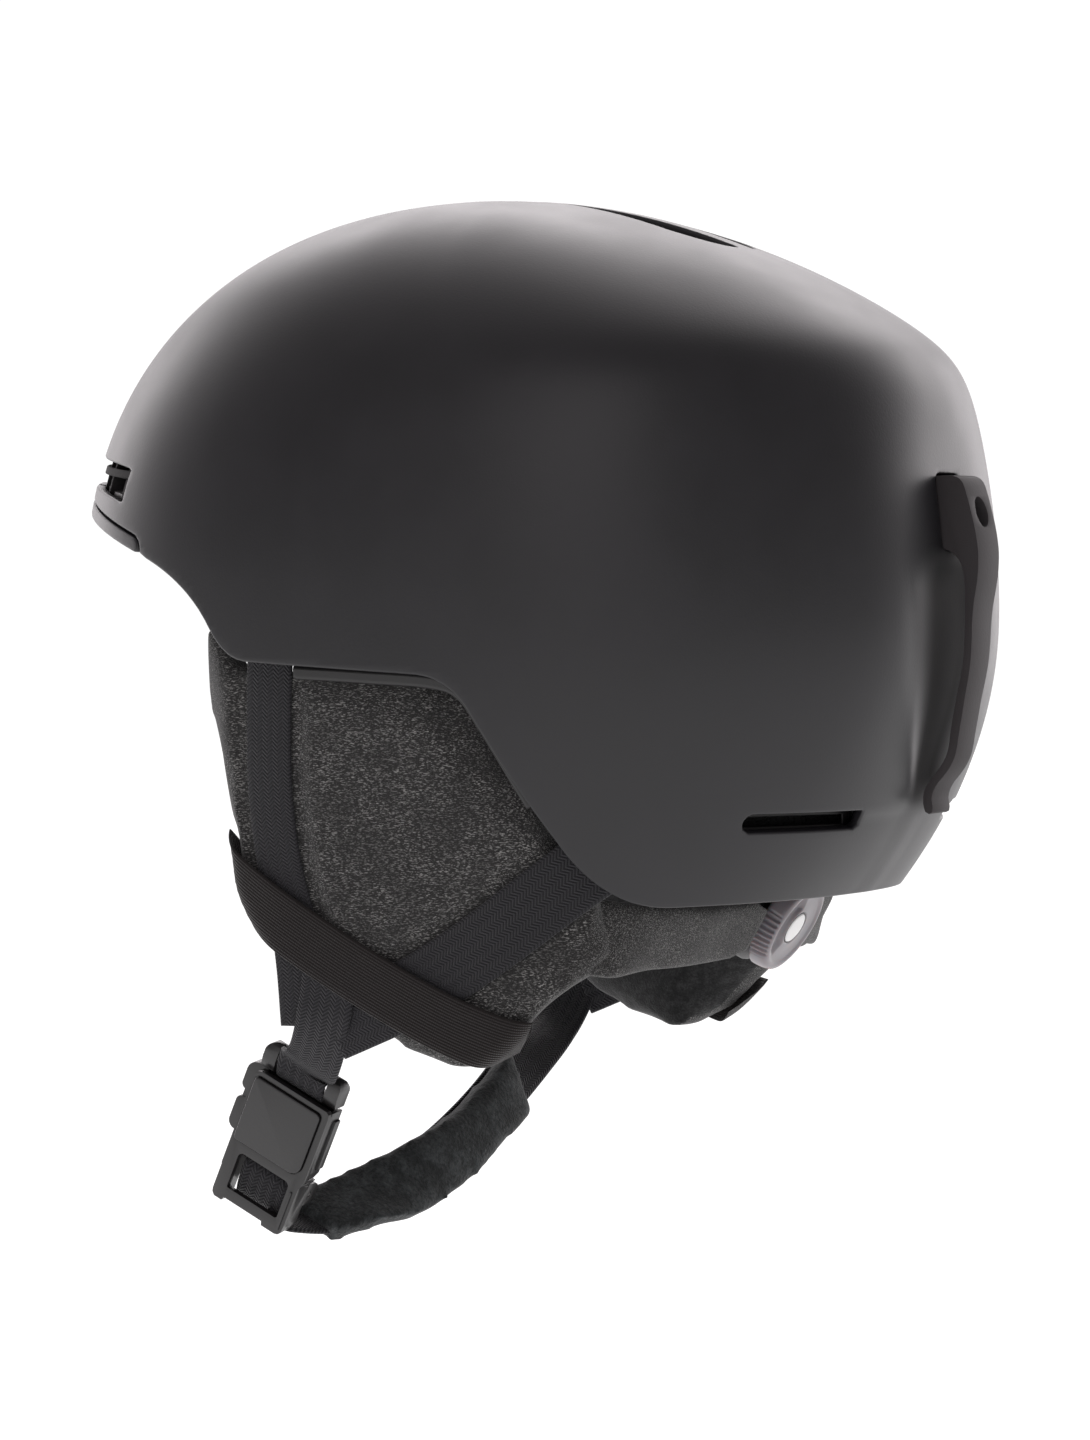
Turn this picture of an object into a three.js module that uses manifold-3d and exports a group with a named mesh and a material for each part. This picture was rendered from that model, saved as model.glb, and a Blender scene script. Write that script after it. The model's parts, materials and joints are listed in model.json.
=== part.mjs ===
// A hard-shell ski helmet with its fit dial, ear pads, harness, magnetic buckle and goggle clip.
//
// Millimetres. The helmet faces -Y, the wearer's left is +X and up is +Z. The origin is where the
// crown of the head meets the flat underside of the crown pad.
import * as THREE from "three";
import { ParametricGeometry } from "three/addons/geometries/ParametricGeometry.js";
import { mergeVertices } from "three/addons/utils/BufferGeometryUtils.js";
import Module from "manifold-3d";

const wasm = await Module();
wasm.setup();

// ---------------------------------------------------------------- driving dimensions

const GAP = 0.3; // between solids that touch

const SHELL = { halfWidth: 108, front: 138.5, rear: 133, crown: 34 };
const SHELL_WALL = 3;
const FOAM = 20; // thickness of the liner at the sides
const FOAM_TOP = 23;
const WIDEST_Z = -85.6;
const PLAN_CENTRE_Y = 9.6; // where the plan outline is widest
const APEX_Y = -5.7;
const PLAN_POWER = 2.3; // superellipse power of the plan outline
const FRONT_POWER = 2.26; // and of the profile at the front
const SIDE_POWER = 2.55; // and at the sides
const REAR_CORNER = { below: 1.7, above: 1.26, belowPower: 1.9, abovePower: 1.73, blend: 40 };
const TUCK = { rear: 0.0028, side: 0.0009, power: 2.09 }; // how fast the shell draws in below

const CLIP_WIDTH = 16;
const CHANNEL = { depth: 3, half: 14, fade: 34, top: -45, bottom: -141 };

const RIM_FRONT_SLOPE = 0.32;
const BRIM_END_Y = -86.6;
const BRIM_END_Z = -69.3;
const BRIM_HEIGHT = 4.3;
const BRIM_DEPTH = 9;

const PAD_FACE_X = 92; // outer face of an ear pad at z = -100
const PAD_LEAN = 0.108; // how far the face leans in for each millimetre down
const PAD_THICKNESS = 17;

const WEBBING = 1.4;
const FRONT_STRAP_WIDTH = 15;
const REAR_STRAP_WIDTH = 18;
const ELASTIC_WIDTH = 19;

const BUCKLE_CENTRE = new THREE.Vector3(62, -54.6, -237.6);
const BUCKLE_DOWN = new THREE.Vector3(-0.16, -0.449, -0.879).normalize();
const BUCKLE = { half: 13.5, top: 16.8, bottom: -26, tongueEnd: -7, loopTop: 26.5, deep: 3.5 };

const DIAL_CENTRE = new THREE.Vector3(0, 80.7, -177);
const DIAL_TILT = THREE.MathUtils.degToRad(30); // the dial's axis points this far below level
const DIAL = { radius: 15, height: 8, capRadius: 4.7, housing: 4 };

// ---------------------------------------------------------------- materials

const finish = (color, roughness, metalness = 0) =>
  new THREE.MeshStandardMaterial({ color, roughness, metalness });

const MATTE_SHELL = finish(0x1b1a1c, 0.55);
const BLACK_FOAM = finish(0x141414, 0.9);
const GREY_PLASTIC = finish(0x3b393b, 0.5);
const BLACK_PLASTIC = finish(0x1c1b1c, 0.45);
const SMOKE_PLASTIC = finish(0x6a6470, 0.35);
const WHITE_PLASTIC = finish(0xe8e8e8, 0.4);
const HEATHER = finish(0x3a3a3b, 0.95);
const LINER_FABRIC = finish(0x19191a, 0.95);
const FLEECE = finish(0x1d2122, 1);
const BLACK_WEBBING = finish(0x17171c, 0.85);
const BLACK_ELASTIC = finish(0x241e1d, 0.9);
const STEEL = finish(0xb9bcc0, 0.3, 1);

// ---------------------------------------------------------------- building helpers

const vec = (x, y, z) => new THREE.Vector3(x, y, z);
const helmet = new THREE.Group();

// Adds a named piece, given as a geometry or as a solid.
function part(name, shape, material, parent = helmet) {
  const mesh = new THREE.Mesh(geometryOf(shape.isBufferGeometry ? solid(shape) : shape), material);
  mesh.name = name;
  parent.add(mesh);
  return mesh;
}

// Joins shared corners, drops collapsed triangles and turns every face outwards.
function solid(geometry) {
  const bare = new THREE.BufferGeometry();
  bare.setAttribute("position", geometry.getAttribute("position"));
  bare.setIndex(geometry.index);
  const merged = mergeVertices(bare, 1e-3);
  const index = merged.index.array;
  const faces = [];
  for (let i = 0; i < index.length; i += 3) {
    const [a, b, c] = index.subarray(i, i + 3);
    if (a !== b && b !== c && c !== a) faces.push(a, b, c);
  }
  const vertProperties = merged.attributes.position.array;
  const make = (triVerts) => new wasm.Manifold(new wasm.Mesh({ numProp: 3, vertProperties, triVerts }));
  const made = make(new Uint32Array(faces));
  return made.volume() > 0 ? made : make(new Uint32Array(faces.reverse()));
}

function geometryOf(manifold) {
  const mesh = manifold.getMesh();
  const geometry = new THREE.BufferGeometry();
  geometry.setAttribute("position", new THREE.BufferAttribute(mesh.vertProperties, 3));
  geometry.setIndex(new THREE.BufferAttribute(mesh.triVerts, 1));
  const flat = geometry.toNonIndexed();
  flat.computeVertexNormals();
  return flat;
}

const joined = (first, ...others) => others.reduce((sum, one) => sum.add(one), first);
const without = (first, ...others) => others.reduce((rest, one) => rest.subtract(one), first);

// A flat outline drawn in the plane of two axes and carried along the third.
const FROM_SIDE = new THREE.Matrix4().makeBasis(vec(0, 1, 0), vec(0, 0, 1), vec(1, 0, 0));
const FROM_FRONT = new THREE.Matrix4().makeBasis(vec(1, 0, 0), vec(0, 0, 1), vec(0, -1, 0));
const FROM_ABOVE = new THREE.Matrix4();

function prism(shape, plane, start, length, curveSegments = 6) {
  const geometry = new THREE.ExtrudeGeometry(shape, { depth: length, bevelEnabled: false, curveSegments });
  geometry.translate(0, 0, start);
  return geometry.applyMatrix4(plane);
}

const outline = (...points) => new THREE.Shape(points.map(([x, y]) => new THREE.Vector2(x, y)));

function rectangle(x0, y0, x1, y1) {
  return outline([x0, y0], [x1, y0], [x1, y1], [x0, y1]);
}

function disc(radius, x = 0, y = 0) {
  const shape = new THREE.Shape();
  shape.absarc(x, y, radius, 0, 2 * Math.PI);
  return shape;
}

// A closed body through rings of points, each ring with the same number of points.
function loft(rings) {
  const count = rings[0].length;
  const points = rings.flat();
  const faces = [];
  for (let r = 0; r + 1 < rings.length; r++) {
    for (let i = 0; i < count; i++) {
      const j = (i + 1) % count;
      const [a, b, c, d] = [r * count + i, r * count + j, (r + 1) * count + j, (r + 1) * count + i];
      faces.push(a, b, c, a, c, d);
    }
  }
  for (const [ring, turn] of [[0, 1], [rings.length - 1, -1]]) {
    const middle = points.length;
    points.push(rings[ring].reduce((sum, p) => sum.add(p), vec(0, 0, 0)).divideScalar(count));
    for (let i = 0; i < count; i++) {
      const [a, b] = [ring * count + i, ring * count + ((i + 1) % count)];
      faces.push(...(turn > 0 ? [middle, b, a] : [middle, a, b]));
    }
  }
  const geometry = new THREE.BufferGeometry().setFromPoints(points);
  geometry.setIndex(faces);
  return geometry;
}

// A flat strap along a curve. across(t) is its width direction; it is thick inwards from the curve.
function strap(curve, across, width, thickness, steps) {
  const rings = [];
  for (let i = 0; i <= steps; i++) {
    const t = i / steps;
    const side = across(t).clone().normalize().multiplyScalar(width / 2);
    const through = curve.getTangentAt(t).cross(side).normalize().multiplyScalar(thickness);
    const middle = curve.getPointAt(t);
    const near = [middle.clone().sub(side), middle.clone().add(side)];
    rings.push([near[0], near[1], near[1].clone().add(through), near[0].clone().add(through)]);
  }
  return loft(rings);
}

// ---------------------------------------------------------------- the dome

const smooth = (x, from, to) => THREE.MathUtils.smoothstep(x, from, to);
const signedPower = (x, power) => Math.sign(x) * Math.abs(x) ** power;

// Distance from the profile's centre to its edge, at an elevation in the unit quarter circle.
function profileReach(elevation, rearness, frontness) {
  const c = Math.cos(elevation);
  const s = Math.sin(elevation);
  const power = FRONT_POWER * frontness + SIDE_POWER * (1 - frontness);
  const round = (c ** power + s ** power) ** (-1 / power);
  const k = REAR_CORNER;
  const below = (c ** k.belowPower + (s / k.below) ** k.belowPower) ** (-1 / k.belowPower);
  const above = ((c / k.above) ** k.abovePower + s ** k.abovePower) ** (-1 / k.abovePower);
  const cornered = (below ** -k.blend + above ** -k.blend) ** (-1 / k.blend);
  return round * (1 - rearness) + cornered * rearness;
}

// How far the goggle strap's channel is sunk into the middle of the back.
function channelDepth(x, y, z) {
  if (y < 60) return 0;
  const across = 1 - smooth(Math.abs(x), CHANNEL.half, CHANNEL.fade);
  const start = smooth(z, CHANNEL.bottom - 6, CHANNEL.bottom + 6);
  const along = start * (1 - smooth(z, CHANNEL.top, CHANNEL.top + 6));
  return CHANNEL.depth * across * along;
}

// A point of the dome: `angle` runs from the rear over the wearer's left, and `level` from 0 at
// the apex to 1 at the widest line and on to 2 at `DROP` below it.
const DROP = 90;
function domePoint(size, angle, level, target = vec(0, 0, 0)) {
  const c = Math.cos(angle);
  const s = Math.sin(angle);
  const reachY = c > 0 ? size.rear - PLAN_CENTRE_Y : size.front + PLAN_CENTRE_Y;
  const rimX = size.halfWidth * signedPower(s, 2 / PLAN_POWER);
  const rimY = PLAN_CENTRE_Y + reachY * signedPower(c, 2 / PLAN_POWER);
  const elevation = (Math.PI / 2) * (1 - Math.min(level, 1));
  const reach = profileReach(elevation, smooth(c, -0.35, 0.75), Math.max(-c, 0) ** 2);
  const out = reach * Math.cos(elevation);
  const below = DROP * Math.max(level - 1, 0);
  const rate = TUCK.rear * Math.max(c, 0) + TUCK.side * (1 - Math.max(c, 0));
  const shrink = (rate * below ** TUCK.power) / Math.hypot(rimX, rimY - PLAN_CENTRE_Y);
  target.x = rimX * (out - shrink);
  target.y = APEX_Y + (rimY - APEX_Y) * (out - shrink);
  target.z = WIDEST_Z + (size.crown - WIDEST_Z) * reach * Math.sin(elevation) - below;
  if (size.channel) target.y -= channelDepth(target.x, target.y, target.z);
  return target;
}

const grown = (size, by) => ({
  ...size,
  halfWidth: size.halfWidth + by,
  front: size.front + by,
  rear: size.rear + by,
  crown: size.crown + by,
});

function dome(size, slices, upper = 10, lower = 4) {
  const rows = upper + lower + 1;
  const surface = (u, v, target) => {
    const row = Math.round(v * rows);
    const level = row <= upper ? row / upper : 1 + Math.min((row - upper) / lower, 1);
    if (row === rows) target.set(0, PLAN_CENTRE_Y, WIDEST_Z - DROP);
    else domePoint(size, 2 * Math.PI * (Math.round(u * slices) % slices) / slices, level, target);
  };
  return solid(new ParametricGeometry(surface, slices, rows));
}

const SLICES = 40; // around the dome, the same for every surface so that they nest
const OUTSIDE = { ...SHELL, channel: true };
const CAVITY = {
  halfWidth: SHELL.halfWidth - SHELL_WALL - FOAM,
  front: SHELL.front - SHELL_WALL - FOAM_TOP,
  rear: SHELL.rear - SHELL_WALL - FOAM_TOP,
  crown: SHELL.crown - SHELL_WALL - FOAM_TOP,
};

// Height of the brim's lower edge, which rises towards the front.
const frontLine = (y) => BRIM_END_Z + (BRIM_END_Y - y) * RIM_FRONT_SLOPE;

// Everything above the rim, seen from the side: over the eyes, the step behind the brim, the arch
// over the ear and the nape. `brimRoom` lifts the front edge only and `raise` the rest.
function aboveRim(brimRoom, raise, napeZ) {
  const shape = new THREE.Shape();
  shape.moveTo(170, 60);
  shape.lineTo(-170, 60);
  shape.lineTo(-170, frontLine(-170) + brimRoom);
  shape.lineTo(BRIM_END_Y - 3, frontLine(BRIM_END_Y - 3) + brimRoom);
  shape.quadraticCurveTo(BRIM_END_Y, BRIM_END_Z + brimRoom, BRIM_END_Y, BRIM_END_Z + raise);
  shape.quadraticCurveTo(-66, -76 + raise, -57, -90 + raise);
  shape.quadraticCurveTo(-51, -99 + raise, -43, -99.2 + raise);
  shape.lineTo(12, -102 + raise);
  shape.quadraticCurveTo(21, -102.5 + raise, 27, -110 + raise);
  shape.lineTo(50, -148 + raise);
  shape.quadraticCurveTo(60, Math.max(-167, napeZ) + raise, 74, Math.max(-167, napeZ) + raise);
  shape.lineTo(170, Math.max(-164, napeZ) + raise);
  return solid(prism(shape, FROM_SIDE, -150, 300));
}

// ---------------------------------------------------------------- vents

const FRONT_VENT = { halfWidth: 79, top: -41, bottom: -46.5, endTop: -45, endBottom: -54 };
const TOP_VENT = { tipY: 8, tailY: 64, inner: 5, outer: 17.5, widestY: 48 };
const REAR_VENT = { x: 51, y: 104.6, z: -143.2, length: 42, height: 5, heading: 59.5 };

function frontVent(spread) {
  const { halfWidth, top, bottom, endTop, endBottom } = FRONT_VENT;
  const shape = new THREE.Shape();
  shape.moveTo(-halfWidth - spread, endBottom - spread);
  shape.quadraticCurveTo(-halfWidth * 0.7, bottom - spread, 0, bottom - spread);
  shape.quadraticCurveTo(halfWidth * 0.7, bottom - spread, halfWidth + spread, endBottom - spread);
  shape.lineTo(halfWidth + spread, endTop + spread);
  shape.quadraticCurveTo(halfWidth * 0.8, top + spread, 0, top + spread);
  shape.quadraticCurveTo(-halfWidth * 0.8, top + spread, -halfWidth - spread, endTop + spread);
  return solid(prism(shape, FROM_FRONT, 88, 80));
}

function topVent(side, spread) {
  const { tipY, tailY, inner, outer, widestY } = TOP_VENT;
  const shape = new THREE.Shape();
  shape.moveTo(side * (inner - spread), tipY - 2 * spread);
  const bow = 0.6 * tipY + 0.4 * widestY - spread;
  shape.quadraticCurveTo(side * (outer * 0.7 + spread), bow, side * (outer + spread), widestY);
  shape.quadraticCurveTo(side * (outer + spread), tailY + spread, side * (inner - spread), tailY + spread);
  return solid(prism(shape, FROM_ABOVE, -20, 80));
}

// The slot low on each side of the back, and the plate behind it, in the shell's tangent plane.
function rearVent(side, spread, start, depth) {
  const { length, height, heading, x, y, z } = REAR_VENT;
  const [halfLength, halfHeight] = [length / 2 + spread, height / 2 + spread];
  const shape = rectangle(-halfLength, -halfHeight, halfLength, halfHeight);
  const facing = THREE.MathUtils.degToRad(heading) * side;
  const place = new THREE.Matrix4().makeBasis(
    vec(Math.sin(facing), -Math.cos(facing), 0).multiplyScalar(side),
    vec(0, 0, 1),
    vec(Math.cos(facing) * side, Math.sin(facing) * side, 0),
  );
  place.setPosition(side * x, y, z);
  return solid(prism(shape, place, start, depth));
}

const SIDES = [["left", 1], ["right", -1]];

// ---------------------------------------------------------------- shell, brim, liner and vents

const LINER_OUTSIDE = { ...grown(SHELL, -SHELL_WALL - GAP), channel: true };

function addShell() {
  const inside = { ...grown(SHELL, -SHELL_WALL), channel: true };
  const wall = without(dome(OUTSIDE, SLICES), dome(inside, SLICES));
  const holes = [frontVent(0)];
  for (const [, side] of SIDES) holes.push(topVent(side, 0), rearVent(side, 0, -12, 30));
  const trimmed = wall.intersect(aboveRim(BRIM_HEIGHT + GAP, 0, -167));
  part("outer_shell", without(trimmed, ...holes), MATTE_SHELL);
}

function addBrim() {
  const strip = new THREE.Shape();
  strip.moveTo(-170, frontLine(-170));
  strip.lineTo(BRIM_END_Y - GAP, frontLine(BRIM_END_Y - GAP));
  strip.quadraticCurveTo(
    BRIM_END_Y - GAP, BRIM_END_Z + BRIM_HEIGHT,
    BRIM_END_Y - 3, frontLine(BRIM_END_Y - 3) + BRIM_HEIGHT,
  );
  strip.lineTo(-170, frontLine(-170) + BRIM_HEIGHT);
  const ring = without(dome(SHELL, SLICES), dome(grown(SHELL, -BRIM_DEPTH), SLICES));
  part("front_brim", ring.intersect(solid(prism(strip, FROM_SIDE, -150, 300))), MATTE_SHELL);
}

// Pockets in the liner's lower edge that the strap anchors sit in.
const ANCHORS = [
  { name: "front", y: -41, z: -93.5, turn: 0, width: FRONT_STRAP_WIDTH },
  { name: "rear", y: 61, z: -149.5, turn: -49.7, width: REAR_STRAP_WIDTH },
];

function anchorPocket(side, { y, z, turn, width }) {
  const half = width / 2 + 1.5;
  const pocket = prism(rectangle(-half, -16, half, 7), FROM_SIDE, padFace(y, z).x - 5.5, 14);
  pocket.applyMatrix4(new THREE.Matrix4().makeRotationX(THREE.MathUtils.degToRad(turn)));
  pocket.translate(0, y, z);
  if (side < 0) pocket.scale(-1, 1, 1);
  return solid(pocket);
}

const GRILLE = { depth: 9, wall: 2.5, rib: 2, ribs: 7 };

function addLiner() {
  const wall = without(dome(LINER_OUTSIDE, SLICES), dome(CAVITY, SLICES));
  const trimmed = wall.intersect(aboveRim(BRIM_HEIGHT + 1.2, 1.2, -150));
  const core = dome(grown(SHELL, -SHELL_WALL - GRILLE.depth - 2 * GAP), SLICES);
  const pockets = [without(frontVent(2.5), core)];
  for (const [, side] of SIDES) {
    pockets.push(without(topVent(side, 2.5), core), rearVent(side, 2.5, -11.6, 30));
    pockets.push(...ANCHORS.map((anchor) => anchorPocket(side, anchor)));
  }
  part("eps_liner", without(trimmed, ...pockets), BLACK_FOAM);
}

// The ribbed insert behind the brow vent: a curved tray with upright ribs.
function addFrontGrille() {
  const outer = dome(grown(SHELL, -SHELL_WALL - GAP), SLICES);
  const ring = without(outer, dome(grown(SHELL, -SHELL_WALL - GRILLE.depth), SLICES));
  const floor = dome(grown(SHELL, -SHELL_WALL - GRILLE.depth + GRILLE.wall), SLICES);
  const bays = [];
  const pitch = (2 * FRONT_VENT.halfWidth) / GRILLE.ribs;
  for (let i = 0; i < GRILLE.ribs; i++) {
    const start = -FRONT_VENT.halfWidth + i * pitch + GRILLE.rib / 2;
    const bay = rectangle(start, -60, start + pitch - GRILLE.rib, -30);
    bays.push(solid(prism(bay, FROM_FRONT, 80, 90)));
  }
  const hollow = frontVent(0.4).intersect(joined(...bays));
  const tray = without(ring.intersect(frontVent(2.1)), without(hollow, floor));
  part("front_vent_grille", tray, GREY_PLASTIC);
}

// A slotted plate behind each top vent, and a plain one behind each rear vent.
function addVentInserts() {
  const outer = dome(grown(SHELL, -SHELL_WALL - GAP), SLICES);
  const inner = dome(grown(SHELL, -SHELL_WALL - 3), SLICES);
  for (const [name, side] of SIDES) {
    const plate = topVent(side, 2).intersect(without(outer, inner));
    const slots = [];
    for (let y = 22; y < 58; y += 9) {
      const slot = rectangle(side * 7, y, side * (y > 50 ? 11 : 13), y + 4);
      slots.push(solid(prism(slot, FROM_ABOVE, -20, 80)));
    }
    part(`top_vent_insert_${name}`, without(plate, ...slots), GREY_PLASTIC);
    const backing = rearVent(side, 1.4, -10.6, 2);
    part(`rear_vent_insert_${name}`, without(backing, rearVent(side, -1.2, -20, 40)), GREY_PLASTIC);
  }
}

// ---------------------------------------------------------------- goggle clip

// Side outline of the clip, from its top down the outer face and back up the inner face.
const CLIP_SPLIT_Z = -71.2;
const CLIP_BASE = [
  [118, -46.8], [128.5, -46.8], [132.4, -48.8], [135.8, -52.4], [137.4, -57.6], [139.4, -65],
  [139.5, CLIP_SPLIT_Z], [118, CLIP_SPLIT_Z],
];
const CLIP_ARM = [
  [139.5, CLIP_SPLIT_Z - GAP], [138.7, -76.2], [137.6, -88], [137, -98.8], [134.4, -111.4],
  [132.6, -123.7], [131.2, -128], [127.5, -132.8], [125.2, -136], [124.8, -138], [125.3, -142.2],
  [122.6, -142.2], [122.3, -138.5], [122.9, -136], [125, -133], [128.9, -127.2], [130.2, -123.7],
  [132.1, -111.4], [134.7, -98.8], [135.3, -88], [136.2, -78], [135.6, -74.5], [133.5, CLIP_SPLIT_Z - GAP],
];
const CLIP_HOLE = { z: -57, radius: 4.4, floorY: 132 };

function addGoggleClip() {
  const half = CLIP_WIDTH / 2;
  const block = solid(prism(outline(...CLIP_BASE), FROM_SIDE, -half, CLIP_WIDTH));
  const seat = dome({ ...grown(SHELL, GAP), channel: true }, SLICES);
  const bore = disc(CLIP_HOLE.radius, 0, CLIP_HOLE.z);
  const hole = solid(prism(bore, FROM_FRONT, -160, 160 - CLIP_HOLE.floorY, 5));
  part("goggle_clip_base", without(block, seat, hole), GREY_PLASTIC);

  const arm = prism(outline(...CLIP_ARM), FROM_SIDE, -half, CLIP_WIDTH);
  const corners = arm.getAttribute("position");
  for (let i = 0; i < corners.count; i++) {
    const taper = 1 - 0.28 * smooth(-corners.getZ(i), 80, 136);
    corners.setX(i, corners.getX(i) * taper);
  }
  part("goggle_clip_arm", solid(arm), GREY_PLASTIC);

  const screw = new THREE.CylinderGeometry(3.6, 3.6, 2.2, 16);
  screw.translate(0, CLIP_HOLE.floorY + GAP + 1.1, CLIP_HOLE.z);
  part("goggle_clip_screw", screw, STEEL);
}

// ---------------------------------------------------------------- comfort liner

// A pad on the cavity's wall, cut to a region given as a prism.
function liningPad(thickness, region) {
  const layer = without(dome(grown(CAVITY, -GAP), SLICES), dome(grown(CAVITY, -thickness), SLICES));
  return layer.intersect(region);
}

function addLiningPads() {
  const brow = solid(prism(rectangle(-62, -47, 62, -24), FROM_FRONT, 70, 60));
  part("brow_pad", liningPad(7, brow), LINER_FABRIC);
  for (const [name, side] of SIDES) {
    const sidePad = solid(prism(rectangle(-48, -74, 46, -34), FROM_SIDE, side > 0 ? 40 : -110, 70));
    part(`side_pad_${name}`, liningPad(6, sidePad), LINER_FABRIC);
  }
  const oval = new THREE.Shape();
  oval.absellipse(0, 0, 30, 42, 0, 2 * Math.PI);
  const crown = solid(prism(oval, FROM_ABOVE, 0, 30)).intersect(dome(grown(CAVITY, -GAP), SLICES));
  part("crown_pad", crown, LINER_FABRIC);
}

// ---------------------------------------------------------------- fit system

const dialUp = vec(0, Math.sin(DIAL_TILT), Math.cos(DIAL_TILT));
const dialOut = vec(0, Math.cos(DIAL_TILT), -Math.sin(DIAL_TILT));
const CRADLE = { halfWidth: 44, below: -17, above: 29, wall: 2.5, pad: 9 };

// Everything on the cradle is drawn looking at the dial's face, with depths measured from its base.
const dialPlane = new THREE.Matrix4().makeBasis(vec(-1, 0, 0), dialUp, dialOut);
const dialBase = DIAL_CENTRE.clone().addScaledVector(dialOut, -DIAL.height - DIAL.housing - 2 * GAP);
dialPlane.setPosition(dialBase);

function cradleOutline(inset) {
  const { halfWidth, below, above } = CRADLE;
  const shape = new THREE.Shape();
  shape.moveTo(-16 + inset, below + inset);
  shape.lineTo(16 - inset, below + inset);
  shape.quadraticCurveTo(30, -12, halfWidth - inset, -8 + inset);
  shape.lineTo(halfWidth - inset, 12 - inset);
  shape.quadraticCurveTo(30, 18, 24 - inset, above - inset);
  shape.lineTo(-24 + inset, above - inset);
  shape.quadraticCurveTo(-30, 18, -halfWidth + inset, 12 - inset);
  shape.lineTo(-halfWidth + inset, -8 + inset);
  shape.quadraticCurveTo(-30, -12, -16 + inset, below + inset);
  return shape;
}

function ring(outerRadius, innerRadius) {
  const shape = disc(outerRadius);
  const hole = new THREE.Path();
  hole.absarc(0, 0, innerRadius, 0, 2 * Math.PI, true);
  shape.holes.push(hole);
  return shape;
}

function addFitDial() {
  const { radius, height, capRadius, housing } = DIAL;
  part("nape_cradle", prism(cradleOutline(0), dialPlane, -CRADLE.wall, CRADLE.wall - GAP), BLACK_PLASTIC);
  const padBack = -CRADLE.wall - CRADLE.pad;
  part("nape_pad", prism(cradleOutline(1.5), dialPlane, padBack, CRADLE.pad - GAP), HEATHER);

  const cup = solid(prism(disc(radius + 1), dialPlane, 0, housing, 16));
  const well = solid(prism(disc(11), dialPlane, 1, housing, 12));
  part("dial_housing", without(cup, well), BLACK_PLASTIC);
  part("lace_spool", prism(disc(9), dialPlane, 1 + GAP, housing - 1 - GAP, 10), GREY_PLASTIC);

  const knob = solid(prism(disc(radius), dialPlane, housing + GAP, height, 16));
  const face = housing + GAP + height;
  const seat = solid(prism(disc(capRadius + GAP), dialPlane, face - 1.5, 5, 8));
  const dish = solid(prism(ring(radius - 3, capRadius + 1.5), dialPlane, face - 1, 5, 12));
  part("dial_knob", without(knob, seat, dish), SMOKE_PLASTIC);
  part("dial_cap", prism(disc(capRadius), dialPlane, face + GAP - 1.5, 1.7, 8), WHITE_PLASTIC);

  for (const [name, side] of SIDES) {
    const from = radius + 1 + GAP;
    const lace = new THREE.CylinderGeometry(0.6, 0.6, CRADLE.halfWidth - from, 8);
    lace.rotateZ(Math.PI / 2);
    lace.translate(-side * (CRADLE.halfWidth + from) / 2, 2, 1.2);
    part(`lace_${name}`, lace.applyMatrix4(dialPlane), BLACK_PLASTIC);
  }
}

// A thin band on the cavity's wall from the temple back to the cradle's tips.
function addFitBands() {
  const inside = grown(CAVITY, -1);
  for (const [name, side] of SIDES) {
    const rings = [];
    for (let i = 0; i <= 10; i++) {
      const t = i / 10;
      const angle = THREE.MathUtils.degToRad(THREE.MathUtils.lerp(130, 38, t)) * side;
      const middleZ = THREE.MathUtils.lerp(-84, -143, smooth(t, 0.35, 1));
      const corner = (size, dz) => domePoint(size, angle, 1 + (WIDEST_Z - middleZ - dz) / DROP);
      const thin = grown(inside, -1.4);
      rings.push([corner(inside, 5), corner(inside, -5), corner(thin, -5), corner(thin, 5)]);
    }
    part(`fit_band_${name}`, loft(rings), BLACK_PLASTIC);
  }
}

// ---------------------------------------------------------------- ear pads and harness

// The outer face of an ear pad, which leans in towards the jaw and rounds in at both edges.
function padFace(y, z, out = 0) {
  const round = 0.006 * Math.max(0, -y - 35) ** 2 + 0.004 * Math.max(0, y - 20) ** 2;
  return vec(PAD_FACE_X + PAD_LEAN * (z + 100) - round + out, y, z);
}

// Front and rear edges of an ear pad from the top down, as [z, front y, rear y].
const PAD_EDGES = [
  [-94, -66.5, -61], [-101, -66.4, -52], [-103.5, -66.2, 4], [-105, -66, 13], [-108, -65.8, 19],
  [-116, -65.2, 26], [-128, -63.6, 34], [-144, -60.6, 44], [-154, -58.4, 50], [-164, -57.2, 55],
  [-172, -53.6, 56], [-180, -48, 56], [-186, -43.5, 52], [-191, -37, 44], [-199, -22, 34],
  [-206, -5, 25], [-211, 8, 16],
];

function earPad() {
  const across = 8;
  const rings = PAD_EDGES.map(([z, front, rear]) => {
    const outer = [];
    const inner = [];
    for (let i = 0; i <= across; i++) {
      const t = i / across;
      const y = THREE.MathUtils.lerp(front, rear, t);
      const full = 0.45 + 0.55 * Math.sin(Math.PI * THREE.MathUtils.clamp(t, 0.02, 0.98)) ** 0.5;
      outer.push(padFace(y, z, 0));
      inner.unshift(padFace(y, z, -PAD_THICKNESS * full));
    }
    return [...outer, ...inner];
  });
  return loft(rings);
}

// A strap lying on the pad's face: `route` is its middle line as [y, z] points.
function faceStrap(route, width, out, thickness, steps = 12) {
  const line = new THREE.CatmullRomCurve3(route.map(([y, z]) => vec(0, y, z)));
  const rings = [];
  for (let i = 0; i <= steps; i++) {
    const middle = line.getPointAt(i / steps);
    const ahead = line.getTangentAt(i / steps);
    const [wy, wz] = [(-ahead.z * width) / 2, (ahead.y * width) / 2];
    const corner = (k, lift) => padFace(middle.y + k * wy, middle.z + k * wz, lift);
    rings.push([
      corner(-1, out), corner(0, out), corner(1, out),
      corner(1, out + thickness), corner(0, out + thickness), corner(-1, out + thickness),
    ]);
  }
  return loft(rings);
}

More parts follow.
